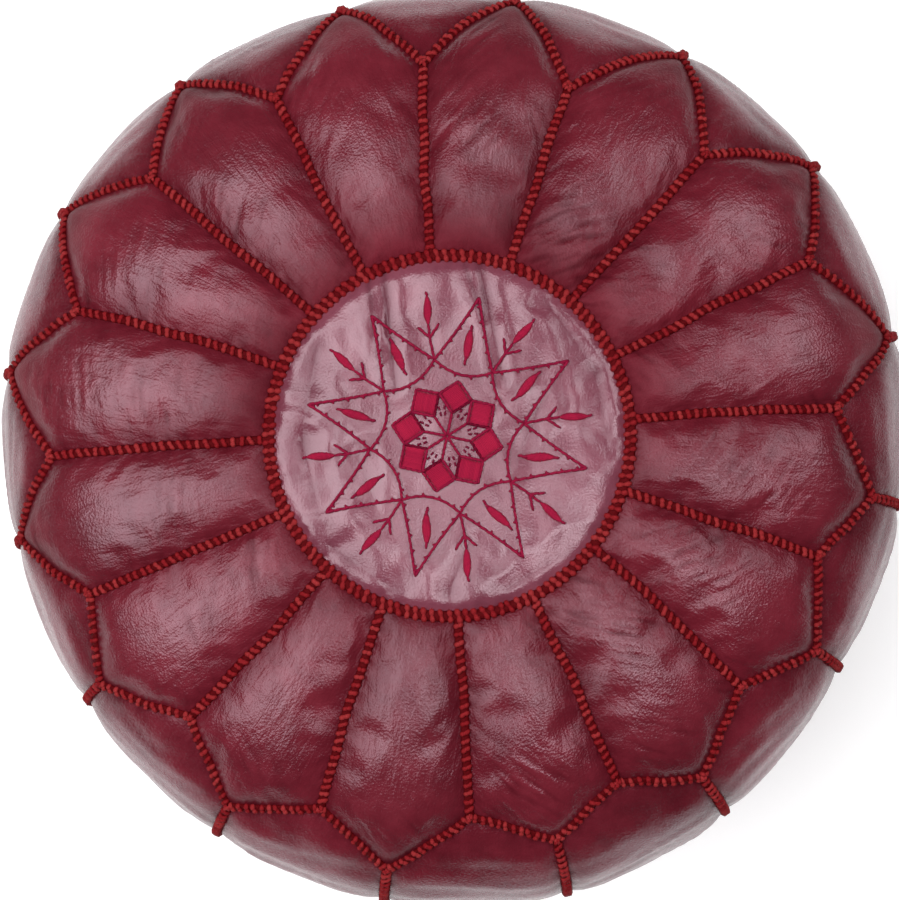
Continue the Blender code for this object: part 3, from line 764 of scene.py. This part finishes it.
class Needle:
    """Draws thread on the medallion: plan points in metres from the embroidery's middle."""

    def __init__(self, ground, rng):
        self.ground, self.rng, self.threads = ground, rng, Threads()

    def lay(self, points, lift):
        placed = []
        for x, y in points:
            x, y = x + EMBROIDERY_CENTRE[0], y + EMBROIDERY_CENTRE[1]
            hit = self.ground.ray_cast(Vector((x, y, 1)), Vector((0, 0, -1)))[0]
            placed.append((x, y, hit.z + lift))
        return np.array(placed)

    def line(self, points, pitch=4.4 * MM, barbs=True):
        """Stem stitch: short strands that overlap, with a small barb at every other one."""
        points = np.asarray(points, float)
        along = np.concatenate([[0], np.cumsum(np.linalg.norm(np.diff(points, axis=0), axis=1))])
        count = max(1, round(along[-1] / pitch))
        for i in range(count):
            start, end = i / count * along[-1], min(1, (i + 1.25) / count) * along[-1]
            at = np.linspace(start, end, 6)
            strand = np.stack([np.interp(at, along, points[:, c]) for c in range(2)], axis=1)
            step = strand[-1] - strand[0]
            left = np.array([-step[1], step[0]]) / np.linalg.norm(step)
            strand = strand + left * np.linspace(-0.25, 0.25, 6)[:, None] * MM
            placed = self.lay(strand, 0)
            placed[:, 2] += OUTLINE_RADIUS * np.array([0.1, 0.9, 1.1, 1.1, 0.9, 0.1])
            shape = OUTLINE_RADIUS * np.array([0.6, 1, 1.1, 1.1, 1, 0.6])
            shade = OUTLINE_TONE + self.rng.uniform(-0.1, 0.1)
            self.threads.strand(placed, (0, 0, 1), shape * 0.9, shape, 6, shade)
            if barbs and i % 2 == 1:
                hook = [strand[0] - left * 0.2 * MM, strand[0] + left * 1.9 * MM - step * 0.3]
                self.short(hook, OUTLINE_RADIUS * 0.85, OUTLINE_TONE)

    def short(self, points, radius, tone):
        at = np.linspace(0, 1, 4)[:, None]
        strand = np.asarray(points[0]) * (1 - at) + np.asarray(points[1]) * at
        placed = self.lay(strand, radius * 0.8)
        self.threads.strand(placed, (0, 0, 1), radius * 0.9, radius, 5, tone)

    def satin(self, start, end, width_at, lean=0.0, tone=0.8, crown=0.7 * MM):
        """A filled shape: strands laid side by side across a line from start to end."""
        start, end = np.asarray(start, float), np.asarray(end, float)
        length = np.linalg.norm(end - start)
        along = (end - start) / length
        left = np.array([-along[1], along[0]])
        count = max(3, round(length / SATIN_PITCH))
        for i in range(count):
            share = (i + 0.5) / count
            half = width_at(share) * self.rng.uniform(0.93, 1.07)
            middle = start + (end - start) * share
            sweep = (left + along * lean) * half
            at = np.linspace(-1, 1, 7)[:, None]
            placed = self.lay(middle + sweep * at, 0)
            placed[:, 2] += crown * (1 - at[:, 0] ** 2) + 0.1 * MM
            taper = SATIN_RADIUS * np.array([0.6, 0.95, 1, 1, 1, 0.95, 0.6])
            shade = tone + self.rng.uniform(-0.15, 0.15)
            self.threads.strand(placed, (0, 0, 1), taper * 0.8, taper, 5, shade)


def polar(radius, angle):
    return np.array([radius * math.cos(angle), radius * math.sin(angle)])


def bowed(start, end, bow, steps=12):
    """A plan line from start to end that bows to its left."""
    at = np.linspace(0, 1, steps)[:, None]
    step = end - start
    left = np.array([-step[1], step[0]]) / np.linalg.norm(step)
    return start + step * at + left * bow * 4 * at * (1 - at)


def lens(half):
    return lambda share: half * math.sin(math.pi * min(1, max(0, share))) ** 0.7 + 0.2 * MM


def draw_star(needle):
    """The eight-pointed star: each tip is joined to the next but one, with a leaf in every point."""
    for m in range(8):
        tip_angle = STAR_TURN + math.pi / 4 * m
        tip = polar(STAR_TIP, tip_angle)
        notch = polar(STAR_NOTCH, tip_angle + math.pi / 8)
        ahead = polar(STAR_NOTCH, tip_angle + math.pi * 3 / 8)
        needle.line(bowed(tip, notch, 0.6 * MM))
        needle.line(bowed(notch, ahead, STAR_INNER_BOW, 16))
        needle.line(bowed(ahead, polar(STAR_TIP, tip_angle + math.pi / 2), 0.6 * MM))
        draw_spray(needle, tip_angle + math.pi / 8)
        skew = needle.rng.uniform(-0.05, 0.05)
        inner_from = polar(INNER_LEAF[0], tip_angle + skew)
        inner_to = polar(INNER_LEAF[1], tip_angle - skew)
        needle.satin(inner_from, inner_to, lens(2.3 * MM), lean=0.5)
        needle.line([inner_from * 1.05, inner_from * 0.93], pitch=3 * MM, barbs=False)
        needle.line([inner_to * 0.97, inner_to * 1.04], pitch=3 * MM, barbs=False)


def draw_spray(needle, angle):
    """The stem that grows out of a notch, its two barbs and the filled leaf at its end."""
    foot, fork = polar(STAR_NOTCH, angle), polar(SPRAY_FORK, angle + 0.01)
    leaf, tip = polar(SPRAY_LEAF[0], angle), polar(SPRAY_LEAF[1], angle - 0.02)
    needle.line([foot, fork, leaf], pitch=5 * MM, barbs=False)
    for side in (-1, 1):
        end = polar(SPRAY_BARB, angle + side * 0.095)
        needle.line([fork, end], pitch=4 * MM, barbs=False)
    needle.satin(leaf, tip, lens(2.1 * MM), lean=-0.5)
    needle.line([tip, tip * 1.03], pitch=3 * MM, barbs=False)


def draw_rosette(needle):
    """Eight open rhombi round the middle, with a filled square in each notch between them."""
    reach = ROSETTE_SIDE * 2 * math.cos(math.pi / 8)
    for m in range(8):
        angle = STAR_TURN + math.pi / 8 + math.pi / 4 * m + 0.02
        edge_a, edge_b = polar(ROSETTE_SIDE, angle - math.pi / 8), polar(ROSETTE_SIDE, angle + math.pi / 8)
        tip = polar(reach, angle)
        needle.line([polar(0.5 * MM, angle + math.pi / 8), edge_b], pitch=3.5 * MM, barbs=False)
        for start, end in ((edge_a, tip), (edge_b, tip)):
            needle.line([start, end], pitch=3.5 * MM, barbs=False)
        for side in (-1, 1):
            for share in (0.48, 0.62):
                foot = polar(share * reach, angle + side * 0.09)
                needle.short([foot, foot + polar(2.2 * MM, angle + side * 0.2)], 0.6 * MM, 0.0)
        square_angle = angle + math.pi / 8
        inner = polar(ROSETTE_SIDE, square_angle)
        outer = polar(ROSETTE_SIDE + SQUARE_DEPTH, square_angle)
        corner_a = polar(reach, square_angle - math.pi / 8)
        corner_b = polar(reach, square_angle + math.pi / 8)
        start, end = (inner + corner_a) / 2, (corner_b + outer) / 2
        half = ROSETTE_SIDE * 0.47
        needle.satin(start, end, lambda share: half, tone=0.9, crown=0.5 * MM)
        for a, b in ((inner, corner_a), (corner_a, outer), (outer, corner_b), (corner_b, inner)):
            needle.line([a, b], pitch=3.5 * MM, barbs=False)


def make_embroidery(medallion, material):
    rng = np.random.default_rng(8)
    surface = medallion.evaluated_get(bpy.context.evaluated_depsgraph_get()).data
    ground = BVHTree.FromPolygons([v.co for v in surface.vertices], [p.vertices for p in surface.polygons])
    for name, node, draw in (
        ("star_embroidery_thread", "star_embroidery", draw_star),
        ("rosette_embroidery_thread", "rosette_embroidery", draw_rosette),
    ):
        needle = Needle(ground, rng)
        draw(needle)
        attach(needle.threads.build(name, material), node)


# ---- base, zip and filling ----

def base_height(x, y):
    """The outside of the base: flat, raised into a shallow channel over the zip, turned up at its rim."""
    lower = PROFILE[::-1][:PROFILE_STEPS]
    rim = np.interp(math.hypot(x, y), lower[:, 0], lower[:, 1])
    slope = np.interp(abs(y), (RECESS_FLAT, RECESS_FOOT), (1, 0))
    slope = slope * slope * (3 - 2 * slope)
    return rim + RECESS * slope * np.interp(abs(x), RECESS_END, (1, 0))


def slot_edge(x):
    """How far each half of the base stays from the middle line: they meet past the zip's ends."""
    return np.interp(abs(x), SLOT_CLOSES, (SLOT_HALF, BUTT_GAP))


def make_base_half(name, node, side, key, material):
    """Half of the round base, with a turned edge along the zip's slot."""
    columns, rows = 84, 26
    outer = float(radius_at(BASE_PATH + BUTT_GAP))
    # The rim's first and last points keep just off the middle line, where the two halves meet
    first = math.asin(1.6 * BUTT_GAP / outer)
    angles = np.linspace(first, math.pi - first, columns + 1)
    shares = np.linspace(0, 1, rows + 1) ** 1.25
    points, flat = [], []
    for angle in angles:
        x, rim = outer * math.cos(angle), outer * math.sin(angle)
        for share in shares:
            y = slot_edge(x) + (rim - slot_edge(x)) * share
            slack = max(0.0, noise.noise((x * 16, y * side * 16, key))) * 1.2 * MM
            fade = min(1, (outer - math.hypot(x, y)) / 0.02) * min(1, (y - slot_edge(x)) / 0.01)
            points.append((x, side * y, base_height(x, y) + slack * max(0, fade) + 0.2 * MM))
            flat.append((x, y))
    faces = grid_faces(columns, rows)
    if side > 0:
        faces = [face[::-1] for face in faces]
    mesh = new_mesh(name, points, faces)
    flat = np.array(flat)
    point_values(mesh, "hide_x", flat[:, 0])
    point_values(mesh, "hide_y", flat[:, 1])
    away = np.minimum(outer - np.hypot(flat[:, 0], flat[:, 1]), flat[:, 1] - slot_edge(flat[:, 0]))
    point_values(mesh, "seam", np.exp(-away / SEAM_SHADE_REACH))
    point_values(mesh, "panel", np.full(len(points), key * 0.37))
    piece = new_object(name, mesh, material)
    thicken(piece)
    attach(piece, node)


def make_base_stitching(material):
    """Machine stitching on both sides of the zip's slot."""
    rng = np.random.default_rng(5)
    threads = Threads()
    for side in (-1, 1):
        for x in np.arange(-0.184, 0.185, 4 * MM):
            at = np.linspace(-1.6, 1.6, 5) * MM
            y = side * (slot_edge(x) + 3.2 * MM)
            sag = 0.35 * MM * (1 - np.linspace(-1, 1, 5) ** 2)
            path = [(x + d, y, base_height(x, y) + 0.1 * MM - s) for d, s in zip(at, sag)]
            threads.strand(path, (0, 1, 0), 0.4 * MM, 0.4 * MM, 6, rng.uniform(0, 1))
    attach(threads.build("base_machine_stitching", material))


def make_zip_teeth(material):
    """Two rows of nylon teeth, each a rounded hook off a cord along the tape's edge."""
    for row, side in (("left", 1), ("right", -1)):
        low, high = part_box(f"zip_teeth_{row}")
        middle = (low.z + high.z) / 2
        tall = (high.z - low.z) / 2
        threads = Threads()
        start = low.x + (0.25 if side > 0 else 0.75) * TOOTH_PITCH
        for x in np.arange(start, high.x - TOOTH_PITCH / 2, TOOTH_PITCH):
            reach = np.array([0.75, 1.1, 2.2, 3.4, 4.2]) * MM * side
            path = [(x, y, middle) for y in reach]
            wide = np.array([0.55, 0.85, 0.6, 0.62, 0.5]) * MM
            deep = tall * np.array([0.6, 0.95, 0.9, 0.95, 0.6])
            threads.strand(path, (1, 0, 0), wide, deep, 8, 0.5)
        cord_x = np.linspace(low.x, high.x, 160)
        cord = np.stack([cord_x, np.full(160, side * 3.4 * MM), np.full(160, middle + tall * 0.2)], axis=1)
        threads.strand(cord, (0, 1, 0), 0.55 * MM, 0.5 * MM, 6, 0.3)
        attach(threads.build(f"zip_coil_{row}", material), f"zip_teeth_{row}")


def make_filling(material):
    """The wadding inside, lumpy, flat underneath and grooved over the zip."""
    low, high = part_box("filling")
    columns, rows = 120, 64
    depth = 8 * MM
    points = []
    for i in range(columns):
        for j in range(1, rows):
            point = np.array([2 * math.pi * i / columns, BASE_PATH * j / rows])
            x, y, z = on_body(point, -depth)
            lump = noise.noise((x * 28, y * 28, z * 28)) + 0.5 * noise.noise((x * 75, y * 75, z * 75))
            x, y, z = on_body(point, -depth + lump * 1.6 * MM)
            points.append((x, y, max(z, low.z + 1 * MM)))
    count = rows - 1
    faces = []
    for i in range(columns):
        a, b = i * count, (i + 1) % columns * count
        faces += [(a + j, a + j + 1, b + j + 1, b + j) for j in range(count - 1)]
    top = len(points)
    points.append((0, 0, high.z - 2 * MM))
    faces += [(top, i * count, (i + 1) % columns * count) for i in range(columns)]
    edge = [points[i * count + count - 1] for i in range(columns)]
    previous = [i * count + count - 1 for i in range(columns)]
    for share in np.linspace(0.94, 0.04, 24):
        ring = []
        for x, y, _ in edge:
            x, y = x * share, y * share
            groove = np.interp(abs(y), (0.026, 0.050), (GROOVE_TOP + 1 * MM, low.z + 1 * MM))
            fluff = abs(noise.noise((x * 40, y * 40, 2.0))) * 1.5 * MM
            ring.append(len(points))
            points.append((x, y, groove + fluff))
        faces += [
            (previous[i], ring[i], ring[(i + 1) % columns], previous[(i + 1) % columns])
            for i in range(columns)
        ]
        previous = ring
    faces.append(tuple(previous[::-1]))
    piece = new_object("wadding_filling", new_mesh("wadding_filling", points, faces), material)
    attach(piece, "filling")


# ---- materials ----

class Nodes:
    """Short calls to add and join shader nodes."""

    def __init__(self, name, colour, roughness, metallic=0.0, **settings):
        self.material = bpy.data.materials.new(name)
        self.material.use_nodes = True
        self.tree = self.material.node_tree
        self.shader = self.tree.nodes["Principled BSDF"]
        self.shader.inputs["Base Color"].default_value = (*colour, 1)
        self.shader.inputs["Roughness"].default_value = roughness
        self.shader.inputs["Metallic"].default_value = metallic
        self.material.diffuse_color = (*colour, 1)
        for label, value in settings.items():
            self.shader.inputs[label.replace("_", " ")].default_value = value

    def add(self, kind, inputs=(), **properties):
        node = self.tree.nodes.new(kind)
        for label, value in properties.items():
            setattr(node, label, value)
        for key, value in dict(inputs).items():
            self.put(value, node.inputs[key])
        return node

    def put(self, value, socket):
        if isinstance(value, bpy.types.NodeSocket):
            self.tree.links.new(value, socket)
        else:
            socket.default_value = value

    def place(self):
        return self.add("ShaderNodeTexCoord").outputs["Object"]

    def attribute(self, name):
        return self.add("ShaderNodeAttribute", attribute_name=name).outputs["Fac"]

    def math(self, operation, *values):
        return self.add("ShaderNodeMath", enumerate(values), operation=operation).outputs[0]

    def product(self, first, *others):
        for other in others:
            first = self.math("MULTIPLY", first, other)
        return first

    def weighed(self, first, first_share, second, second_share):
        """The sum of two values, each times its share."""
        return self.math("ADD", self.product(first, first_share), self.product(second, second_share))

    def combine(self, x, y, z):
        return self.add("ShaderNodeCombineXYZ", {"X": x, "Y": y, "Z": z}).outputs[0]

    def noise(self, vector, scale, detail=3.0, roughness=0.5, distortion=0.0):
        inputs = {"Vector": vector, "Scale": scale, "Detail": detail, "Roughness": roughness}
        inputs["Distortion"] = distortion
        return self.add("ShaderNodeTexNoise", inputs).outputs["Fac"]

    def cells(self, vector, scale):
        inputs = {"Vector": vector, "Scale": scale}
        return self.add("ShaderNodeTexVoronoi", inputs).outputs["Distance"]

    def stretched(self, vector, scale, turn=0.0):
        inputs = {"Vector": vector, "Scale": scale, "Rotation": (0, 0, turn)}
        return self.add("ShaderNodeMapping", inputs).outputs[0]

    def ramp(self, factor, *stops):
        node = self.add("ShaderNodeValToRGB", {"Fac": factor})
        elements = node.color_ramp.elements
        while len(elements) < len(stops):
            elements.new(0.5)
        for element, (place, colour) in zip(elements, stops):
            element.position = place
            element.color = (*colour, 1)
        return node.outputs["Color"]

    def grade(self, factor, low, high):
        inputs = {"Value": factor, "To Min": low, "To Max": high}
        return self.add("ShaderNodeMapRange", inputs).outputs[0]

    def shaded(self, colour, shade):
        """A colour times a grey value."""
        node = self.add("ShaderNodeMix", data_type="RGBA", blend_type="MULTIPLY")
        grey = self.combine(shade, shade, shade)
        for socket, value in zip((0, 6, 7), (1.0, colour, grey)):
            self.put(value, node.inputs[socket])
        return node.outputs[2]

    def bump(self, height, distance, strength, normal=None):
        inputs = {"Height": height, "Distance": distance, "Strength": strength}
        if normal is not None:
            inputs["Normal"] = normal
        return self.add("ShaderNodeBump", inputs).outputs["Normal"]

    def finish(self, **sockets):
        for label, value in sockets.items():
            self.put(value, self.shader.inputs[label.replace("_", " ")])
        return self.material


def leather(name, dyes, roughness, gloss, pebble, crumple, silver, seam_shade, seam_polish):
    """Waxed goatskin: mottled dye, pebbled grain, fine creases, painted shade beside the seams and in the
    deeper creases, and duller hide beside the seams.
    """
    dark, mid, light = dyes
    n = Nodes(name, mid, roughness, Coat_Roughness=0.18, IOR=1.45)
    n.shader.inputs["Specular Tint"].default_value = (1, silver, 0.55 + silver * 0.45, 1)
    flat = n.combine(n.attribute("hide_x"), n.attribute("hide_y"), n.attribute("panel"))
    place = n.place()
    clouds = n.noise(place, 17, 5, 0.62)
    blotches = n.noise(flat, 70, 4, 0.65)
    colour = n.ramp(n.weighed(clouds, 0.62, blotches, 0.38), (0.34, dark), (0.52, mid), (0.70, light))
    seam_near, fold = n.attribute("seam"), n.attribute("fold")
    tone = n.grade(n.attribute("panel"), 0.92, 1.08)
    # Painted shade: the colour is darkened beside the seams and in the deeper creases, where shade falls
    shade = n.product(n.grade(seam_near, 1.0, seam_shade), n.grade(fold, 1.0, 0.62), tone)
    colour = n.shaded(colour, shade)
    grain = n.cells(flat, 760)
    pores = n.noise(flat, 1500, 2, 0.6)
    creases = n.noise(n.stretched(flat, (1, 0.22, 1), 0.5), 230, 4, 0.55, 0.8)
    folds = n.noise(n.stretched(flat, (1, 0.35, 1), -0.35), 75, 3, 0.5, 0.5)
    normal = n.bump(folds, 1.3 * MM * crumple, 0.6)
    normal = n.bump(creases, 0.8 * MM * crumple, 0.7, normal)
    normal = n.bump(grain, pebble, 0.75, normal)
    normal = n.bump(pores, 0.12 * MM, 0.6, normal)
    wear = n.noise(flat, 120, 5, 0.7)
    dull = n.attribute("dull")
    rough = n.grade(wear, roughness - 0.08, roughness + 0.10)
    rough = n.math("ADD", rough, n.product(dull, 0.25))
    polish = n.math("SUBTRACT", 1.0, n.product(dull, 0.85))
    by_seam = n.grade(n.math("POWER", seam_near, 0.5), 1.0, seam_polish)
    polish = n.product(polish, by_seam, n.grade(fold, 1.0, 0.35))
    n.finish(Specular_IOR_Level=n.product(polish, 0.82), Coat_Weight=n.product(polish, gloss))
    return n.finish(Base_Color=colour, Roughness=rough, Normal=normal)


def thread(name, dark_dye_and_gap_shade, mid, light, twist=900):
    """Plied thread: fine twist across each strand, strands of slightly different dye. Its darkest colour is
    dark dye, and on the lacing's core it is painted shade for the gaps between stitches.
    """
    n = Nodes(name, mid, 0.7, Sheen_Roughness=0.5, Specular_IOR_Level=0.06)
    place = n.place()
    fuzz = n.noise(place, 1400, 3, 0.6)
    value = n.weighed(n.attribute("tone"), 0.6, fuzz, 0.4)
    colour = n.ramp(value, (0.05, dark_dye_and_gap_shade), (0.35, mid), (0.85, light))
    wave = {"Vector": place, "Scale": twist, "Distortion": 3.0}
    ply = n.add("ShaderNodeTexWave", wave, bands_direction="DIAGONAL").outputs["Fac"]
    normal = n.bump(ply, 0.18 * MM, 0.6)
    normal = n.bump(fuzz, 0.15 * MM, 0.5, normal)
    return n.finish(Base_Color=colour, Roughness=n.grade(fuzz, 0.5, 0.78), Normal=normal)


def woven_tape():
    n = Nodes("woven_tape", (0.05, 0.008, 0.012), 0.85, Sheen_Weight=0.2)
    place = n.place()
    warp = n.add("ShaderNodeTexWave", {"Vector": place, "Scale": 320}, bands_direction="Y").outputs["Fac"]
    weft = n.add("ShaderNodeTexWave", {"Vector": place, "Scale": 420}, bands_direction="X").outputs["Fac"]
    weave = n.product(warp, weft)
    colour = n.ramp(weave, (0.0, (0.018, 0.003, 0.005)), (0.8, (0.085, 0.014, 0.02)))
    return n.finish(Base_Color=colour, Normal=n.bump(weave, 0.25 * MM, 0.8))


def nylon():
    n = Nodes("coil_nylon", (0.035, 0.010, 0.012), 0.42)
    place = n.place()
    scuff = n.noise(place, 900, 4, 0.6)
    colour = n.ramp(scuff, (0.3, (0.025, 0.007, 0.009)), (0.7, (0.06, 0.018, 0.02)))
    normal = n.bump(scuff, 0.05 * MM, 0.4)
    return n.finish(Base_Color=colour, Roughness=n.grade(scuff, 0.3, 0.55), Normal=normal)


def antique_brass():
    n = Nodes("antique_brass", (0.48, 0.36, 0.20), 0.35, 1.0)
    place = n.place()
    tarnish = n.noise(place, 420, 5, 0.65)
    scratches = n.noise(n.stretched(place, (0.2, 1, 1)), 2600, 2, 0.5)
    colour = n.ramp(tarnish, (0.35, (0.20, 0.13, 0.07)), (0.6, (0.50, 0.37, 0.20)), (0.8, (0.66, 0.52, 0.32)))
    rough = n.grade(n.weighed(tarnish, 0.6, scratches, 0.4), 0.5, 0.22)
    return n.finish(Base_Color=colour, Roughness=rough, Normal=n.bump(scratches, 0.03 * MM, 0.5))


def cotton_wadding():
    n = Nodes("cotton_wadding", (0.72, 0.68, 0.60), 0.95, Sheen_Weight=0.3)
    place = n.place()
    tufts = n.noise(place, 140, 6, 0.7)
    colour = n.ramp(tufts, (0.3, (0.60, 0.56, 0.48)), (0.7, (0.80, 0.77, 0.70)))
    return n.finish(Base_Color=colour, Normal=n.bump(tufts, 1.5 * MM, 0.8))


# ---- studio ----

def pale_floor():
    n = Nodes("pale_floor", (0.93, 0.93, 0.94), 0.6, Emission_Color=(1, 1, 1, 1), Emission_Strength=0.25)
    place = n.place()
    return n.finish(Roughness=n.grade(n.noise(place, 6, 3), 0.55, 0.7))


def add_softbox(name, place, size, radiance):
    """A rectangular lamp of a given size and brightness that shines straight down."""
    data = bpy.data.lights.new(name, "AREA")
    data.shape = "RECTANGLE"
    data.size, data.size_y = size
    data.energy = radiance * math.pi * size[0] * size[1]
    linked(name, data).location = place


def make_studio():
    corners = [(x * FLOOR_REACH, y * FLOOR_REACH, 0) for x, y in ((-1, -1), (1, -1), (1, 1), (-1, 1))]
    mesh = new_mesh("studio_floor", corners, [(0, 1, 2, 3)])
    floor = new_object("studio_floor", mesh, pale_floor(), smooth=False)
    floor.location = (0, 0, -FLOOR_GAP)
    for name, (left, right, near, far), radiance in SOFTBOXES:
        place = ((left + right) / 2, (near + far) / 2, SOFTBOX_HEIGHT)
        add_softbox(name, place, (right - left, far - near), radiance)
    world = bpy.data.worlds.new("studio")
    world.use_nodes = True
    background = world.node_tree.nodes["Background"]
    background.inputs["Color"].default_value = (1, 1, 1, 1)
    background.inputs["Strength"].default_value = WORLD_STRENGTH
    bpy.context.scene.world = world
    bpy.context.scene.view_settings.view_transform = "Standard"


def make_camera():
    data = bpy.data.cameras.new("camera")
    data.lens = CAMERA_LENS
    data.sensor_width = 36
    camera = linked("camera", data)
    place, target = Vector(CAMERA_PLACE), Vector(CAMERA_TARGET)
    look = (target - place).normalized()
    right = look.cross(Vector((math.sin(CAMERA_ROLL), math.cos(CAMERA_ROLL), 0))).normalized()
    up = right.cross(look)
    turned = Matrix((right, up, -look)).transposed().to_4x4()
    camera.matrix_world = Matrix.Translation(place) @ turned
    bpy.context.scene.camera = camera


# ---- putting it together ----

def make_cover(hide, rose_hide):
    """All the crown and side panels; returns the medallion, which the embroidery is drawn on."""
    kinds = {
        "medallion": ("medallion_hide", rose_hide, 2, medallion_relief),
        "petal": ("hide", hide, 2, wrinkle_relief),
        "side": ("hide", hide, 1, side_relief),
    }
    laid = [("medallion", "", laid_medallion())]
    for k in range(PETALS):
        petal = laid_panel(petal_edges(k), petal_patch, PETAL_PUFF)
        path = petal["flat"][:, 1]
        near_ring = DULL_PETALS[k] * np.exp(-(((path - RING_PATH) / DULL_REACH) ** 2))
        petal["dull"] = np.maximum(near_ring, np.interp(path, crown_path(DULL_RIM), (0, RIM_DULL)))
        laid.append(("petal", f"_{k + 1:02d}", petal))
    for k in range(PETALS):
        side = laid_panel(side_edges(k), side_patch, SIDE_PUFF)
        side["dull"] += SIDE_DULL
        laid.append(("side", f"_{k + 1:02d}", side))
    inflate([panel for _, _, panel in laid])
    pieces = []
    for key, (kind, number, panel) in enumerate(laid):
        slot, material, levels, relief = kinds[kind]
        piece = hide_piece(f"{kind}_leather{number}", panel, key + 1, material, levels, relief)
        attach(piece, f"{kind}_panel{number}")
        pieces.append(piece)
    return pieces[0]


def dress_cad_nodes(brass, tape):
    """Better materials, and softened edges, for the CAD pieces that stay."""
    for name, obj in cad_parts.items():
        if name.startswith("zip_tape"):
            material = tape
        elif name in ("zip_slider", "zip_pull") or "stop" in name:
            material = brass
            edge = obj.modifiers.new("edge", "BEVEL")
            edge.width = 0.25 * MM
            edge.segments = 2
            edge.limit_method = "ANGLE"
        else:
            continue
        obj.data.materials.clear()
        obj.data.materials.append(material)


hide = leather(
    "burgundy_leather",
    dyes=((0.082, 0.0050, 0.0108), (0.118, 0.0090, 0.0172), (0.158, 0.0155, 0.0268)),
    roughness=0.23,
    gloss=0.10,
    pebble=0.20 * MM,
    crumple=1.0,
    silver=0.77,
    seam_shade=0.7,
    seam_polish=0.12,
)
rose_hide = leather(
    "medallion_leather",
    dyes=((0.115, 0.023, 0.038), (0.15, 0.034, 0.054), (0.20, 0.054, 0.078)),
    roughness=0.19,
    gloss=0.28,
    pebble=0.13 * MM,
    crumple=0.3,
    silver=0.84,
    seam_shade=1.0,
    seam_polish=0.85,
)
# The lacing's first colour is painted shade on its core, and the dark end of the stitches' dye
red_thread = thread("lacing_thread", (0.075, 0.0005, 0.0020), (0.18, 0.0060, 0.0095), (0.33, 0.036, 0.037))
silk = thread("embroidery_silk", (0.090, 0.003, 0.018), (0.19, 0.005, 0.030), (0.36, 0.011, 0.045), 1500)
medallion = make_cover(hide, rose_hide)
make_lacing(red_thread)
make_embroidery(medallion, silk)
make_base_half("base_leather_left", "base_panel_left", 1, 41, hide)
make_base_half("base_leather_right", "base_panel_right", -1, 42, hide)
make_base_stitching(red_thread)
make_zip_teeth(nylon())
make_filling(cotton_wadding())
dress_cad_nodes(antique_brass(), woven_tape())
make_studio()
make_camera()
